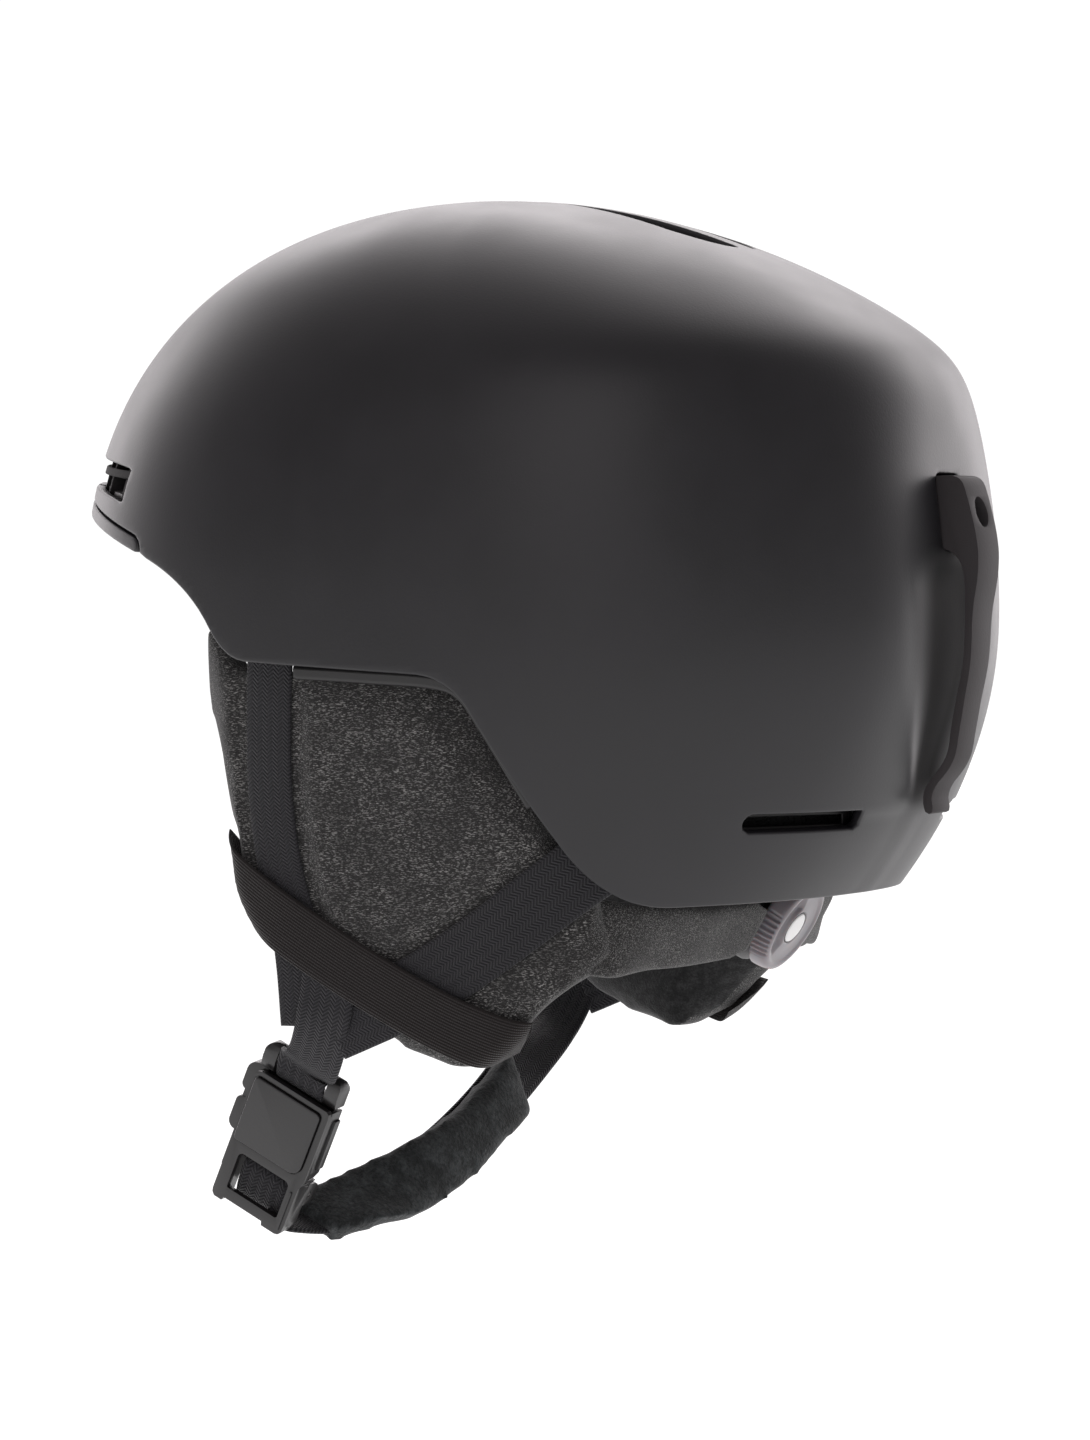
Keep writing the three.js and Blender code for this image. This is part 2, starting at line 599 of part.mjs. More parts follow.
const FRONT_STRAP_ROUTE = [
  [-41, -97], [-42.6, -115], [-43.5, -135], [-41, -155], [-36, -172], [-34.5, -186.6],
];
const REAR_STRAP_ROUTE = [
  [57.5, -152.6], [46, -160.8], [26, -175.6], [6, -190], [-8, -199], [-18.5, -204.6],
];
const ELASTIC_ROUTE = [[-57, -160.5], [-40, -169], [-18, -180.5], [6, -192.5], [31, -202]];
const TRIM_ROUTE = [[-33, -102.2], [-10, -103.2], [10, -104.4], [19, -107.5], [26, -117], [39, -138.5]];
const JOINT_ROUTE = [[-34.4, -187.6], [-33.5, -198], [-33, -208]];
const WING_ROUTE = [[70.5, 57.5], [63, 61], [54, 63.8], [46.2, 65.5]];

function addSide(name, side) {
  const group = new THREE.Group();
  group.scale.x = side;
  helmet.add(group);
  part(`ear_pad_${name}`, earPad(), HEATHER, group);
  part(`ear_pad_trim_${name}`, faceStrap(TRIM_ROUTE, 4, GAP, 2, 14), BLACK_PLASTIC, group);
  const front = faceStrap(FRONT_STRAP_ROUTE, FRONT_STRAP_WIDTH, GAP, WEBBING);
  part(`front_strap_${name}`, front, BLACK_WEBBING, group);
  const rear = faceStrap(REAR_STRAP_ROUTE, REAR_STRAP_WIDTH, GAP, WEBBING);
  part(`rear_strap_${name}`, rear, BLACK_WEBBING, group);
  part(`elastic_band_${name}`, faceStrap(ELASTIC_ROUTE, ELASTIC_WIDTH, 2.3, 1.2), BLACK_ELASTIC, group);
  part(`strap_joint_${name}`, faceStrap(JOINT_ROUTE, 17, GAP, 1.7, 4), BLACK_WEBBING, group);
  for (const { name: end, y, z, turn, width } of ANCHORS) {
    const anchor = new THREE.BoxGeometry(3.6, width, 4);
    anchor.translate(0, 0, 3.6);
    anchor.rotateX(THREE.MathUtils.degToRad(turn));
    anchor.translate(padFace(y, z).x - 2.3, y, z);
    part(`strap_anchor_${end}_${name}`, anchor, BLACK_PLASTIC, group);
  }
  // Where the ear pad's fabric turns in behind the neck, towards the dial.
  const wing = new THREE.CatmullRomCurve3(WING_ROUTE.map(([x, y]) => vec(x, y, -176)));
  part(`nape_wing_${name}`, strap(wing, () => vec(0, 0, 1), 14, 7, 5), HEATHER, group);
}

// ---------------------------------------------------------------- buckle and chin strap

// The buckle is drawn looking at its outer face: x towards the back, y up the strap, z outwards.
const buckleOut = vec(1, 0, 0).addScaledVector(BUCKLE_DOWN, -BUCKLE_DOWN.x).normalize();
const buckleBack = new THREE.Vector3().crossVectors(buckleOut, BUCKLE_DOWN);
const bucklePlane = new THREE.Matrix4().makeBasis(buckleBack, BUCKLE_DOWN.clone().negate(), buckleOut);
bucklePlane.setPosition(BUCKLE_CENTRE);
const atBuckle = (x, y, z) => vec(x, y, z).applyMatrix4(bucklePlane);

// A block in the buckle's frame from one corner to the other.
function block(x0, y0, z0, x1, y1, z1) {
  return solid(prism(rectangle(x0, y0, x1, y1), bucklePlane, z0, z1 - z0));
}

const CAVITY_DEPTH = 3; // room over the tongue, so that the halves part as the strap drops
const TONGUE_TOP = -BUCKLE.deep + 2;
const LEVER_AXIS = { y: -14, z: -5.4, barrel: 1.6, pin: 0.6 };
const MAGNET = { radius: 3.5, height: 1, y: 3 };

function addTongue() {
  const { half, deep, tongueEnd, loopTop, top } = BUCKLE;
  const plate = block(-12, tongueEnd, -deep, 12, top + 2, TONGUE_TOP);
  const grips = [block(-15.5, -5, -deep, -11, 4, 0.6), block(-15.5, 6.5, -deep, -11, 15, 0.6)];
  const loop = block(-half, top + 0.6, -deep, half, loopTop, deep - 1);
  const mouth = block(-9, top + 2.4, -9, 9, loopTop - 3.5, 9);
  const relief = block(-9, top, -0.6, 9, loopTop + 1, 9);
  const front = block(-14, tongueEnd - 1, 0.9, -9, top + 0.4, 4);
  const body = without(joined(plate, ...grips, loop), mouth, relief, front);
  part("buckle_tongue", body, BLACK_PLASTIC);
  part("tongue_magnet", magnet(TONGUE_TOP + 0.1), STEEL);
}

function magnet(start) {
  return prism(disc(MAGNET.radius, 0, MAGNET.y), bucklePlane, start, MAGNET.height - 0.1, 6);
}

function addReceiver() {
  const { half, deep, top, bottom, tongueEnd } = BUCKLE;
  const roof = TONGUE_TOP + CAVITY_DEPTH;
  const face = block(-half, bottom, roof, half, top, deep);
  const rearWall = block(12.5, bottom, -deep, half, top, roof + 0.2);
  const frontWall = block(-half, bottom, -deep, -10, tongueEnd - 1.2, roof + 0.2);
  const lowerWall = block(10, bottom, -deep, half, tongueEnd - 1.2, roof + 0.2);
  const bridge = block(-half, -9.6, -deep, half, tongueEnd - 0.5, roof + 0.2);
  const mouth = block(-9.2, -21.5, -9, 9.2, -9.4, 9);
  const ear = (x) => block(x, LEVER_AXIS.y - 2, LEVER_AXIS.z - 1.6, x + 1.8, LEVER_AXIS.y + 2, -deep + 0.2);
  const pinRoom = disc(LEVER_AXIS.pin + 0.2, LEVER_AXIS.y, LEVER_AXIS.z);
  const pinHole = solid(prism(pinRoom, leverSide, -14, 28, 4));
  const walls = joined(face, rearWall, frontWall, lowerWall, bridge, ear(-12.4), ear(10.6));
  const body = without(walls, mouth, pinHole);
  part("buckle_receiver", body, BLACK_PLASTIC);
  const plate = prism(rectangle(-11.5, -6, 11.5, 15), bucklePlane, deep + 0.1, 0.9);
  part("buckle_cover", plate, BLACK_PLASTIC);
  part("receiver_magnet", magnet(roof - MAGNET.height), STEEL);
}

// Looking along the lever's pin: x up the strap, y outwards.
const leverSide = FROM_SIDE.clone().premultiply(bucklePlane);

function addLever() {
  const { y, z, barrel, pin } = LEVER_AXIS;
  const profile = new THREE.Shape();
  profile.moveTo(y, z + barrel);
  profile.absarc(y, z, barrel, Math.PI / 2, -Math.PI / 2, true);
  profile.lineTo(y - 8, z - barrel);
  profile.lineTo(y - 8, z - barrel + 1.3);
  profile.lineTo(y - 2, z - barrel + 1.3);
  profile.lineTo(y - 1.2, z + barrel);
  const hole = new THREE.Path();
  hole.absarc(y, z, pin + 0.1, 0, 2 * Math.PI);
  profile.holes.push(hole);
  part("adjuster_lever", prism(profile, leverSide, -9.8, 19.6), BLACK_PLASTIC);
  part("lever_pin", prism(disc(pin, y, z), leverSide, -12.3, 24.6, 4), STEEL);
}

function addChinStrap() {
  const joint = padFace(-33, -208);
  const drop = new THREE.CatmullRomCurve3([
    vec(joint.x + 0.6, joint.y, joint.z - 4),
    atBuckle(0, 31, 2.6),
    atBuckle(0, 26, 1.2),
    atBuckle(0, 19.4, 0.9),
  ]);
  const backwards = () => buckleBack;
  part("drop_strap", strap(drop, backwards, FRONT_STRAP_WIDTH, WEBBING, 8), BLACK_WEBBING);

  const chin = new THREE.CatmullRomCurve3([
    atBuckle(0, -10.5, -0.6), atBuckle(0, -17, -1.4), atBuckle(0, -23, -1.9), atBuckle(0, -28.5, -3.4),
    vec(48, -62, -266), vec(36, -53, -264), vec(20, -43.5, -258.5), vec(0, -37.5, -250.5),
    vec(-20, -34, -241), vec(-38, -32, -231), vec(-56, -32, -221.5), vec(-joint.x + 0.5, -33, joint.z - 4),
  ]);
  const upright = vec(0, 0.3, -0.95);
  const across = (t) => buckleBack.clone().lerp(upright, smooth(t, 0.25, 0.5) * (1 - smooth(t, 0.75, 1)));
  part("chin_strap", strap(chin, across, FRONT_STRAP_WIDTH, WEBBING, 32), BLACK_WEBBING);

  // The fleece pad is on the throat's side of the strap.
  const [padStart, padEnd, padThickness] = [0.21, 0.73, 7];
  const sleeve = new THREE.CatmullRomCurve3(
    [0, 0.2, 0.4, 0.6, 0.8, 1].map((k) => {
      const t = THREE.MathUtils.lerp(padStart, padEnd, k);
      const side = across(t).normalize();
      const through = chin.getTangentAt(t).cross(side).normalize();
      return chin.getPointAt(t).addScaledVector(through, -padThickness - GAP);
    }),
  );
  const sleeveAcross = (t) => across(THREE.MathUtils.lerp(padStart, padEnd, t));
  part("chin_pad", strap(sleeve, sleeveAcross, 21, padThickness, 14), FLEECE);
}

// ---------------------------------------------------------------- assembly

addShell();
addBrim();
addLiner();
addFrontGrille();
addVentInserts();
addGoggleClip();
addLiningPads();
addFitDial();
addFitBands();
for (const [name, side] of SIDES) addSide(name, side);
addTongue();
addReceiver();
addLever();
addChinStrap();

export default helmet;
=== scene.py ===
"""Looks of a hard-shell ski helmet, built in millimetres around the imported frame."""
import json
import math

import bmesh
import bpy
import numpy as np
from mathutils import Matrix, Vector


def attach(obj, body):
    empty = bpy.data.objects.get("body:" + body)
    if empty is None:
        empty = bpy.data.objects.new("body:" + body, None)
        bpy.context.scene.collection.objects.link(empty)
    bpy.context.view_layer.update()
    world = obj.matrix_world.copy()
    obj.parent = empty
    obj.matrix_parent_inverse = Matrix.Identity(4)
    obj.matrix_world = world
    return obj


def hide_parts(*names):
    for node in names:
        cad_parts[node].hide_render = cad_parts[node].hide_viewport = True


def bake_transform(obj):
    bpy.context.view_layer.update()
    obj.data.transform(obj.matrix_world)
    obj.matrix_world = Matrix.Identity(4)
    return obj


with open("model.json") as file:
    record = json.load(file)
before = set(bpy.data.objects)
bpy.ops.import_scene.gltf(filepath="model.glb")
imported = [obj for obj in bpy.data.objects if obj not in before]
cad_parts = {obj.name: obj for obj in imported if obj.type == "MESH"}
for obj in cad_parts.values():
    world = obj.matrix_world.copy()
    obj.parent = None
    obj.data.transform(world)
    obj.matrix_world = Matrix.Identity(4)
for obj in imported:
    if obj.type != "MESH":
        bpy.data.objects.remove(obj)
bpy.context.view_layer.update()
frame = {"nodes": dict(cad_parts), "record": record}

MM = 0.001
HELMET = "helmet"
SIDES = (("left", 1), ("right", -1))


# ---------------------------------------------------------------- small tools
def unit(v):
    v = np.asarray(v, float)
    return v / np.maximum(np.linalg.norm(v, axis=-1, keepdims=True), 1e-12)


def smooth(x, low, high):
    t = np.clip((np.asarray(x, float) - low) / (high - low), 0, 1)
    return t * t * (3 - 2 * t)


def linked(name, data):
    obj = bpy.data.objects.new(name, data)
    bpy.context.scene.collection.objects.link(obj)
    return obj


def shade_smooth(obj):
    obj.data.polygons.foreach_set("use_smooth", [True] * len(obj.data.polygons))
    return obj


def paint(obj, material):
    obj.data.materials.clear()
    obj.data.materials.append(material)


def new_object(name, verts, faces, material=None, uvs=None, smooth_shade=True):
    """A mesh object from points in millimetres. uvs, if given, are one (u, v) per vertex."""
    mesh = bpy.data.meshes.new(name)
    points = [tuple(p * MM) for p in np.asarray(verts, float)]
    mesh.from_pydata(points, [], [list(map(int, f)) for f in faces])
    if uvs is not None:
        layer = mesh.uv_layers.new(name="UVMap")
        index = np.empty(len(mesh.loops), np.int32)
        mesh.loops.foreach_get("vertex_index", index)
        layer.data.foreach_set("uv", np.asarray(uvs, np.float32)[index].ravel())
    obj = linked(name, mesh)
    if material:
        mesh.materials.append(material)
    return shade_smooth(obj) if smooth_shade else obj


def edit_mesh(obj, work):
    """Runs work on the object's mesh as a bmesh."""
    bm = bmesh.new()
    bm.from_mesh(obj.data)
    work(bm)
    bm.to_mesh(obj.data)
    bm.free()
    return obj


def outward(obj):
    """Turns every face of a closed mesh outwards."""
    def work(bm):
        bmesh.ops.recalc_face_normals(bm, faces=bm.faces)
        if bm.calc_volume(signed=True) < 0:
            bmesh.ops.reverse_faces(bm, faces=bm.faces)

    return edit_mesh(obj, work)


def ring_faces(rows, count, closed=False):
    """Quads between rows of count points. Each row is a ring, and closed joins the last row to the first."""
    pairs = [(i, (i + 1) % rows) for i in range(rows if closed else rows - 1)]
    return [[i * count + k, i * count + (k + 1) % count, j * count + (k + 1) % count, j * count + k]
            for i, j in pairs for k in range(count)]


def capped_faces(rows, count):
    """Ring faces, with a fan at each end round one of the two points that follow the rows."""
    last, tip = (rows - 1) * count, rows * count
    faces = ring_faces(rows, count)
    faces += [[tip, (k + 1) % count, k] for k in range(count)]
    return faces + [[tip + 1, last + k, last + (k + 1) % count] for k in range(count)]


def lengths_along(line):
    return np.concatenate([[0], np.cumsum(np.linalg.norm(np.diff(line, axis=0), axis=1))])


def place(obj, body, slot, *nodes):
    """Hangs the piece on the body it rides on and hides the CAD nodes it stands for. slot is not used."""
    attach(obj, body)
    if nodes:
        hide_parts(*nodes)
    return obj


def apply_modifiers(obj):
    graph = bpy.context.evaluated_depsgraph_get()
    mesh = bpy.data.meshes.new_from_object(obj.evaluated_get(graph))
    obj.modifiers.clear()
    obj.data = mesh
    return obj


def modify(obj, kind, **settings):
    """Adds one modifier and applies it."""
    modifier = obj.modifiers.new(kind, kind)
    for key, value in settings.items():
        setattr(modifier, key, value)
    return apply_modifiers(obj)


def bevel(obj, width, segments, angle):
    """Rounds the edges that are sharper than angle degrees, then shades smooth."""
    modify(obj, "BEVEL", width=width * MM, segments=segments, limit_method="ANGLE",
           angle_limit=math.radians(angle))
    return shade_smooth(obj)


# ---------------------------------------------------------------- procedural materials
class Nodes:
    """Short names for building a node material."""

    def __init__(self, name):
        self.material = bpy.data.materials.new(name)
        self.material.use_nodes = True
        self.tree = self.material.node_tree
        self.shader = self.tree.nodes["Principled BSDF"]
        self.object = self.add("ShaderNodeTexCoord").outputs["Object"]

    def add(self, kind, **settings):
        node = self.tree.nodes.new(kind)
        for key, value in settings.items():
            setattr(node, key, value)
        return node

    def link(self, source, target):
        """Feeds a socket from another one, from a number or from a colour."""
        if isinstance(source, tuple) and len(source) == 3:
            source = (*source, 1)
        if isinstance(source, (int, float, tuple)):
            target.default_value = source
        else:
            self.tree.links.new(source, target)

    def uv(self):
        return self.add("ShaderNodeUVMap", uv_map="UVMap").outputs["UV"]

    def mapped(self, vector, scale=(1, 1, 1), turn=(0, 0, 0)):
        node = self.add("ShaderNodeMapping")
        self.link(vector, node.inputs["Vector"])
        node.inputs["Scale"].default_value = scale
        node.inputs["Rotation"].default_value = [math.radians(a) for a in turn]
        return node.outputs[0]

    def noise(self, vector, scale, detail=2, roughness=0.5):
        node = self.add("ShaderNodeTexNoise")
        self.link(vector, node.inputs["Vector"])
        node.inputs["Scale"].default_value = scale
        node.inputs["Detail"].default_value = detail
        node.inputs["Roughness"].default_value = roughness
        return node.outputs["Fac"]

    def math(self, operation, a, b=0.0, c=0.0):
        node = self.add("ShaderNodeMath", operation=operation)
        for source, target in zip((a, b, c), node.inputs):
            self.link(source, target)
        return node.outputs[0]

    def wave(self, distance, pitch):
        return self.math("SINE", self.math("MULTIPLY", distance, 2 * math.pi / pitch))

    def ramp(self, value, low, high, out_low=0.0, out_high=1.0):
        node = self.add("ShaderNodeMapRange", interpolation_type="SMOOTHSTEP")
        self.link(value, node.inputs["Value"])
        for key, number in zip(("From Min", "From Max", "To Min", "To Max"), (low, high, out_low, out_high)):
            node.inputs[key].default_value = number
        return node.outputs["Result"]

    def mix(self, factor, a, b):
        node = self.add("ShaderNodeMix", data_type="RGBA")
        for source, index in ((factor, 0), (a, 6), (b, 7)):
            self.link(source, node.inputs[index])
        return node.outputs[2]

    def split(self, vector):
        node = self.add("ShaderNodeSeparateXYZ")
        self.link(vector, node.inputs[0])
        return node.outputs

    def bump(self, height, millimetres):
        node = self.add("ShaderNodeBump")
        self.link(height, node.inputs["Height"])
        node.inputs["Distance"].default_value = millimetres * MM
        return node.outputs[0]

    def finish(self, color, roughness, normal=None, **sockets):
        self.link(color, self.shader.inputs["Base Color"])
        self.link(roughness, self.shader.inputs["Roughness"])
        if normal is not None:
            self.link(normal, self.shader.inputs["Normal"])
        for key, value in sockets.items():
            self.shader.inputs[key.replace("_", " ")].default_value = value
        return self.material


def lighter(color, times):
    return tuple(c * times for c in color)


def mottled(n, color, roughness, lift, scale, grain):
    """Moulded plastic's faintly uneven colour and gloss, and its fine grain."""
    cloudy = n.noise(n.object, 38, 3)
    shade = n.mix(n.ramp(cloudy, 0.3, 0.7), color, lighter(color, lift))
    gloss = n.math("MULTIPLY_ADD", cloudy, 0.12, roughness - 0.06)
    return shade, gloss, n.bump(n.noise(n.object, scale, 2, 0.6), grain)


def moulded(name, color, roughness, grain=0.048, scale=1000, lift=1.25, specular=0.5, metallic=0.0):
    n = Nodes(name)
    look = mottled(n, color, roughness, lift, scale, grain)
    return n.finish(*look, Specular_IOR_Level=specular, Metallic=metallic)


def shell_with_painted_shade(name, color, roughness, specular):
    """Matt shell plastic with painted shade in the hollow under the goggle clip's arm: there its colour goes
    near black, its specular drops and its roughness rises.
    """
    n = Nodes(name)
    shade, gloss, grain = mottled(n, color, roughness, 1.25, 1400, 0.032)
    x, y, z = n.split(n.object)
    # The mask of the painted shade: beside the clip's arm, from under its block down to its foot, on the back
    # of the shell.
    reach_x = n.ramp(z, -0.138, -0.088, 0.011, 0.027)
    beside = n.ramp(n.math("DIVIDE", n.math("ABSOLUTE", x), reach_x), 0.35, 1.2, 1.0, 0.0)
    under = n.math("MULTIPLY", n.ramp(z, -0.146, -0.132), n.ramp(z, -0.074, -0.060, 1.0, 0.0))
    hollow = n.math("MULTIPLY", n.math("MULTIPLY", beside, under), n.math("GREATER_THAN", y, 0.09))
    # Painted shade: in the hollow the reflection is cut, the colour goes near black and the gloss is dulled.
    n.link(n.math("MULTIPLY_ADD", hollow, -0.8 * specular, specular), n.shader.inputs["Specular IOR Level"])
    shade = n.mix(hollow, shade, (0.0048, 0.0044, 0.0048))
    return n.finish(shade, n.math("MULTIPLY_ADD", hollow, 0.3, gloss), grain)


SHELL = shell_with_painted_shade("matte_shell", (0.0105, 0.0097, 0.0117), 0.43, 0.5)
CLIP = moulded("clip_plastic", (0.041, 0.037, 0.0385), 0.6, 0.048, 1100, 1.15, 0.1)
GREY = moulded("grey_plastic", (0.029, 0.0265, 0.027), 0.5, 0.048, 1100, 1.2, 0.35)
BLACK = moulded("black_plastic", (0.014, 0.013, 0.0135), 0.4)
DULL = moulded("dull_black_plastic", (0.016, 0.0148, 0.0152), 0.75, 0.08, 900, 1.3, 0.12)
BUCKLE = moulded("buckle_plastic", (0.0095, 0.0085, 0.009), 0.33, 0.04, 1100, 1.2, 0.7)
WHITE = moulded("white_plastic", (0.78, 0.77, 0.77), 0.4, 0.024, 1500, 1.05)
STEEL = moulded("dark_steel", (0.21, 0.205, 0.2), 0.38, 0.024, 1500, 1.1, metallic=1.0)


# ---------------------------------------------------------------- the dome
HALF_WIDTH, FRONT, REAR, CROWN = 108.0, 138.5, 133.0, 34.0
WALL = 3.0
WIDEST_Z, CENTRE_Y, APEX_Y, DROP = -85.6, 9.6, -5.7, 90.0
PLAN_POWER, FRONT_POWER, SIDE_POWER = 2.3, 2.26, 2.55  # superellipse powers of the plan and of the profile
CORNER = -40.0  # how sharply the rear's two arcs meet
REAR_TUCK, SIDE_TUCK, TUCK_POWER = 0.0028, 0.0009, 2.09  # how the walls draw in below the widest line
CHANNEL, GROOVE = 3.0, 2.2  # depths of the goggle strap's channel and of the hollow under the clip's arm
BACK = 60  # only what lies behind this y belongs to the back of the shell
FAR = -50.0  # a distance that counts as nowhere near


def dome(angle, level, grow=0.0, channel=CHANNEL):
    """Points of the dome. level is 0 at the apex, 1 at the widest line and 2 at DROP below it."""
    angle, level = np.broadcast_arrays(np.asarray(angle, float), np.asarray(level, float))
    c, s = np.cos(angle), np.sin(angle)
    half, front, rear, crown = np.array([HALF_WIDTH, FRONT, REAR, CROWN]) + grow
    rim_x = half * np.sign(s) * np.abs(s) ** (2 / PLAN_POWER)
    reach_y = np.where(c > 0, rear - CENTRE_Y, front + CENTRE_Y)
    rim_y = CENTRE_Y + reach_y * np.sign(c) * np.abs(c) ** (2 / PLAN_POWER)
    elevation = np.pi / 2 * (1 - np.minimum(level, 1))
    ce, se = np.maximum(np.cos(elevation), 1e-9), np.maximum(np.sin(elevation), 1e-9)
    rearness = smooth(c, -0.35, 0.75)
    frontness = np.maximum(-c, 0) ** 2
    power = FRONT_POWER * frontness + SIDE_POWER * (1 - frontness)
    rounded = (ce**power + se**power) ** (-1 / power)
    below = (ce**1.9 + (se / 1.7) ** 1.9) ** (-1 / 1.9)
    above = ((ce / 1.26) ** 1.73 + se**1.73) ** (-1 / 1.73)
    cornered = (below**CORNER + above**CORNER) ** (1 / CORNER)
    reach = rounded * (1 - rearness) + cornered * rearness
    drop = DROP * np.maximum(level - 1, 0)
    rate = REAR_TUCK * np.maximum(c, 0) + SIDE_TUCK * (1 - np.maximum(c, 0))
    out = reach * ce - rate * drop**TUCK_POWER / np.hypot(rim_x, rim_y - CENTRE_Y)
    x = rim_x * out
    y = APEX_Y + (rim_y - APEX_Y) * out
    z = WIDEST_Z + (crown - WIDEST_Z) * reach * se - drop
    if channel:
        hollow = (1 - smooth(np.abs(x), 4, 56)) * smooth(z, -150, -118) * (1 - smooth(z, -52, -8))
        reach_x = 14 + 24 * smooth(z, -138, -95)
        groove = 1 - smooth(np.abs(x) / reach_x, 0.2, 1)
        groove = groove * smooth(z, -142, -128) * (1 - smooth(z, -79, -69))
        y = y - (channel * hollow + GROOVE * groove) * (y > BACK)
    return np.stack([x, y, z], -1)


def rear_step(p):
    """The shell steps in a little below a crease that joins the rear vents to the foot of the goggle clip."""
    x, y, z = np.moveaxis(p, -1, 0)
    below = 1 - smooth(z, -143.2, -140.7)
    across = 1 - smooth(np.abs(x), 20, 80)
    middle = np.minimum(np.abs(x) / 9.5, 1)
    return below * across * (y > BACK) * (0.55 + 0.45 * middle)


def shell_point(angle, level):
    p = dome(angle, level)
    out = np.stack([np.sin(angle) + 0 * level, np.cos(angle) + 0 * level, 0 * level + 0 * angle], -1)
    return p - out * rear_step(p)[..., None]


def surface_normal(point, angle, level, step=1e-4):
    angle, level = np.asarray(angle, float), np.maximum(np.asarray(level, float), 2e-3)
    da = point(angle + step, level) - point(angle - step, level)
    dl = point(angle, level + step) - point(angle, level - step)
    return unit(np.cross(da, dl))


# ---------------------------------------------------------------- outlines that cut the dome
def curve(*points):
    """A closed outline. A point with three entries (x, y, 'q') is the control point of a quadratic arc."""
    out, i = [], 0
    while i < len(points):
        p = points[i]
        if len(p) == 3:
            a, b, c = np.array(out[-1]), np.array(p[:2], float), np.array(points[i + 1][:2], float)
            for t in np.linspace(0, 1, 11)[1:]:
                out.append((1 - t) ** 2 * a + 2 * t * (1 - t) * b + t * t * c)
            i += 2
        else:
            out.append(np.array(p, float))
            i += 1
    return np.array(out)


def inside_distance(poly, p):
    """Signed distance to an outline, above 0 inside it."""
    a, b = poly, np.roll(poly, -1, 0)
    keep = np.linalg.norm(b - a, axis=1) > 1e-9
    a, b = a[keep], b[keep]
    shape = p.shape[:-1]
    q = p.reshape(-1, 2)
    best = np.full(len(q), 1e9)
    odd = np.zeros(len(q), bool)
    for s, e in zip(a, b):
        d = e - s
        t = np.clip(((q - s) @ d) / (d @ d), 0, 1)
        best = np.minimum(best, np.hypot(*(q - s - t[:, None] * d).T))
        crosses = (s[1] > q[:, 1]) != (e[1] > q[:, 1])
        with np.errstate(divide="ignore", invalid="ignore"):
            at = s[0] + (q[:, 1] - s[1]) * d[0] / d[1]
        odd ^= crosses & (q[:, 0] < at)
    return np.where(odd, best, -best).reshape(shape)


BRIM_END_Y, BRIM_END_Z, BRIM_SLOPE, BRIM_HEIGHT = -86.6, -69.3, 0.32, 4.3


def front_line(y):
    return BRIM_END_Z + (BRIM_END_Y - y) * BRIM_SLOPE


def rim_outline(brim, lift):
    """Everything above the rim, seen from the side, as (y, z)."""
    end = BRIM_END_Y
    return curve(
        (170, 60), (-170, 60), (-170, front_line(-170) + brim), (end - 3, front_line(end - 3) + brim),
        (end, BRIM_END_Z + brim, "q"), (end, BRIM_END_Z + lift),
        (-66, -76 + lift, "q"), (-57, -90 + lift), (-51, -99 + lift, "q"), (-43, -99.2 + lift),
        (12, -102 + lift), (21, -102.5 + lift, "q"), (27, -110 + lift), (50, -148 + lift),
        (60, -167 + lift, "q"), (74, -167 + lift), (170, -164 + lift),
    )


RIM = rim_outline(BRIM_HEIGHT + 0.5, 0)
FRONT_VENT = curve(
    (-79, -54), (-55.3, -46.5, "q"), (0, -46.5), (55.3, -46.5, "q"), (79, -54),
    (79, -44.6), (61, -39.4, "q"), (0, -39.4), (-61, -39.4, "q"), (-79, -44.6),
)


def top_vent(side):
    return curve(
        (side * 5, 8), (side * 12.25, 24, "q"), (side * 17.5, 48),
        (side * 17.5, 64, "q"), (side * 5, 64),
    )


def in_rounded_box(x, z, half_x, half_z, corner):
    """Signed distance into a box round the origin with round corners, above 0 inside it."""
    dx, dz = np.abs(x) - half_x + corner, np.abs(z) - half_z + corner
    return corner - np.hypot(np.maximum(dx, 0), np.maximum(dz, 0)) - np.minimum(np.maximum(dx, dz), 0)


def rear_vent_distance(p, side, x=51.0, y=104.6, z=-143.2, length=42.0, height=5.0, heading=59.5):
    """Signed distance into a long rounded slot in the shell's tangent plane; its front end is round."""
    h = math.radians(heading)
    along = (p[..., 0] * side - x) * math.sin(h) - (p[..., 1] - y) * math.cos(h)
    corner = np.where(along > 0, height / 2 - 0.05, 0.9)
    facing = (p[..., 0] * side > 0) & (p[..., 1] > BACK)
    return np.where(facing, in_rounded_box(along, p[..., 2] - z, length / 2, height / 2, corner), FAR)


def clip_pocket_distance(p, half=8.8, top=-46.3, bottom=-67.7, corner=2.4):
    """Signed distance into the cut-out that the goggle clip's block sits in."""
    inside = in_rounded_box(p[..., 0], p[..., 2] - (top + bottom) / 2, half, (top - bottom) / 2, corner)
    return np.where(p[..., 1] > BACK, inside, FAR)


def vent_distances(p):
    """Signed distances into the brow vent, the nearer top vent and the nearer rear vent."""
    brow = np.where(p[..., 1] < -20, inside_distance(FRONT_VENT, p[..., [0, 2]]), FAR)
    crown = np.maximum(*[inside_distance(top_vent(side), p[..., [0, 1]]) for _, side in SIDES])
    rear = np.maximum(rear_vent_distance(p, 1), rear_vent_distance(p, -1))
    return brow, np.where(p[..., 2] > 0, crown, FAR), rear


def shell_region(p):
    """About how far inside the shell's outline a point lies, in millimetres."""
    holes = (clip_pocket_distance(p), *vent_distances(p))
    return np.minimum(inside_distance(RIM, p[..., [1, 2]]), -np.maximum.reduce(holes))


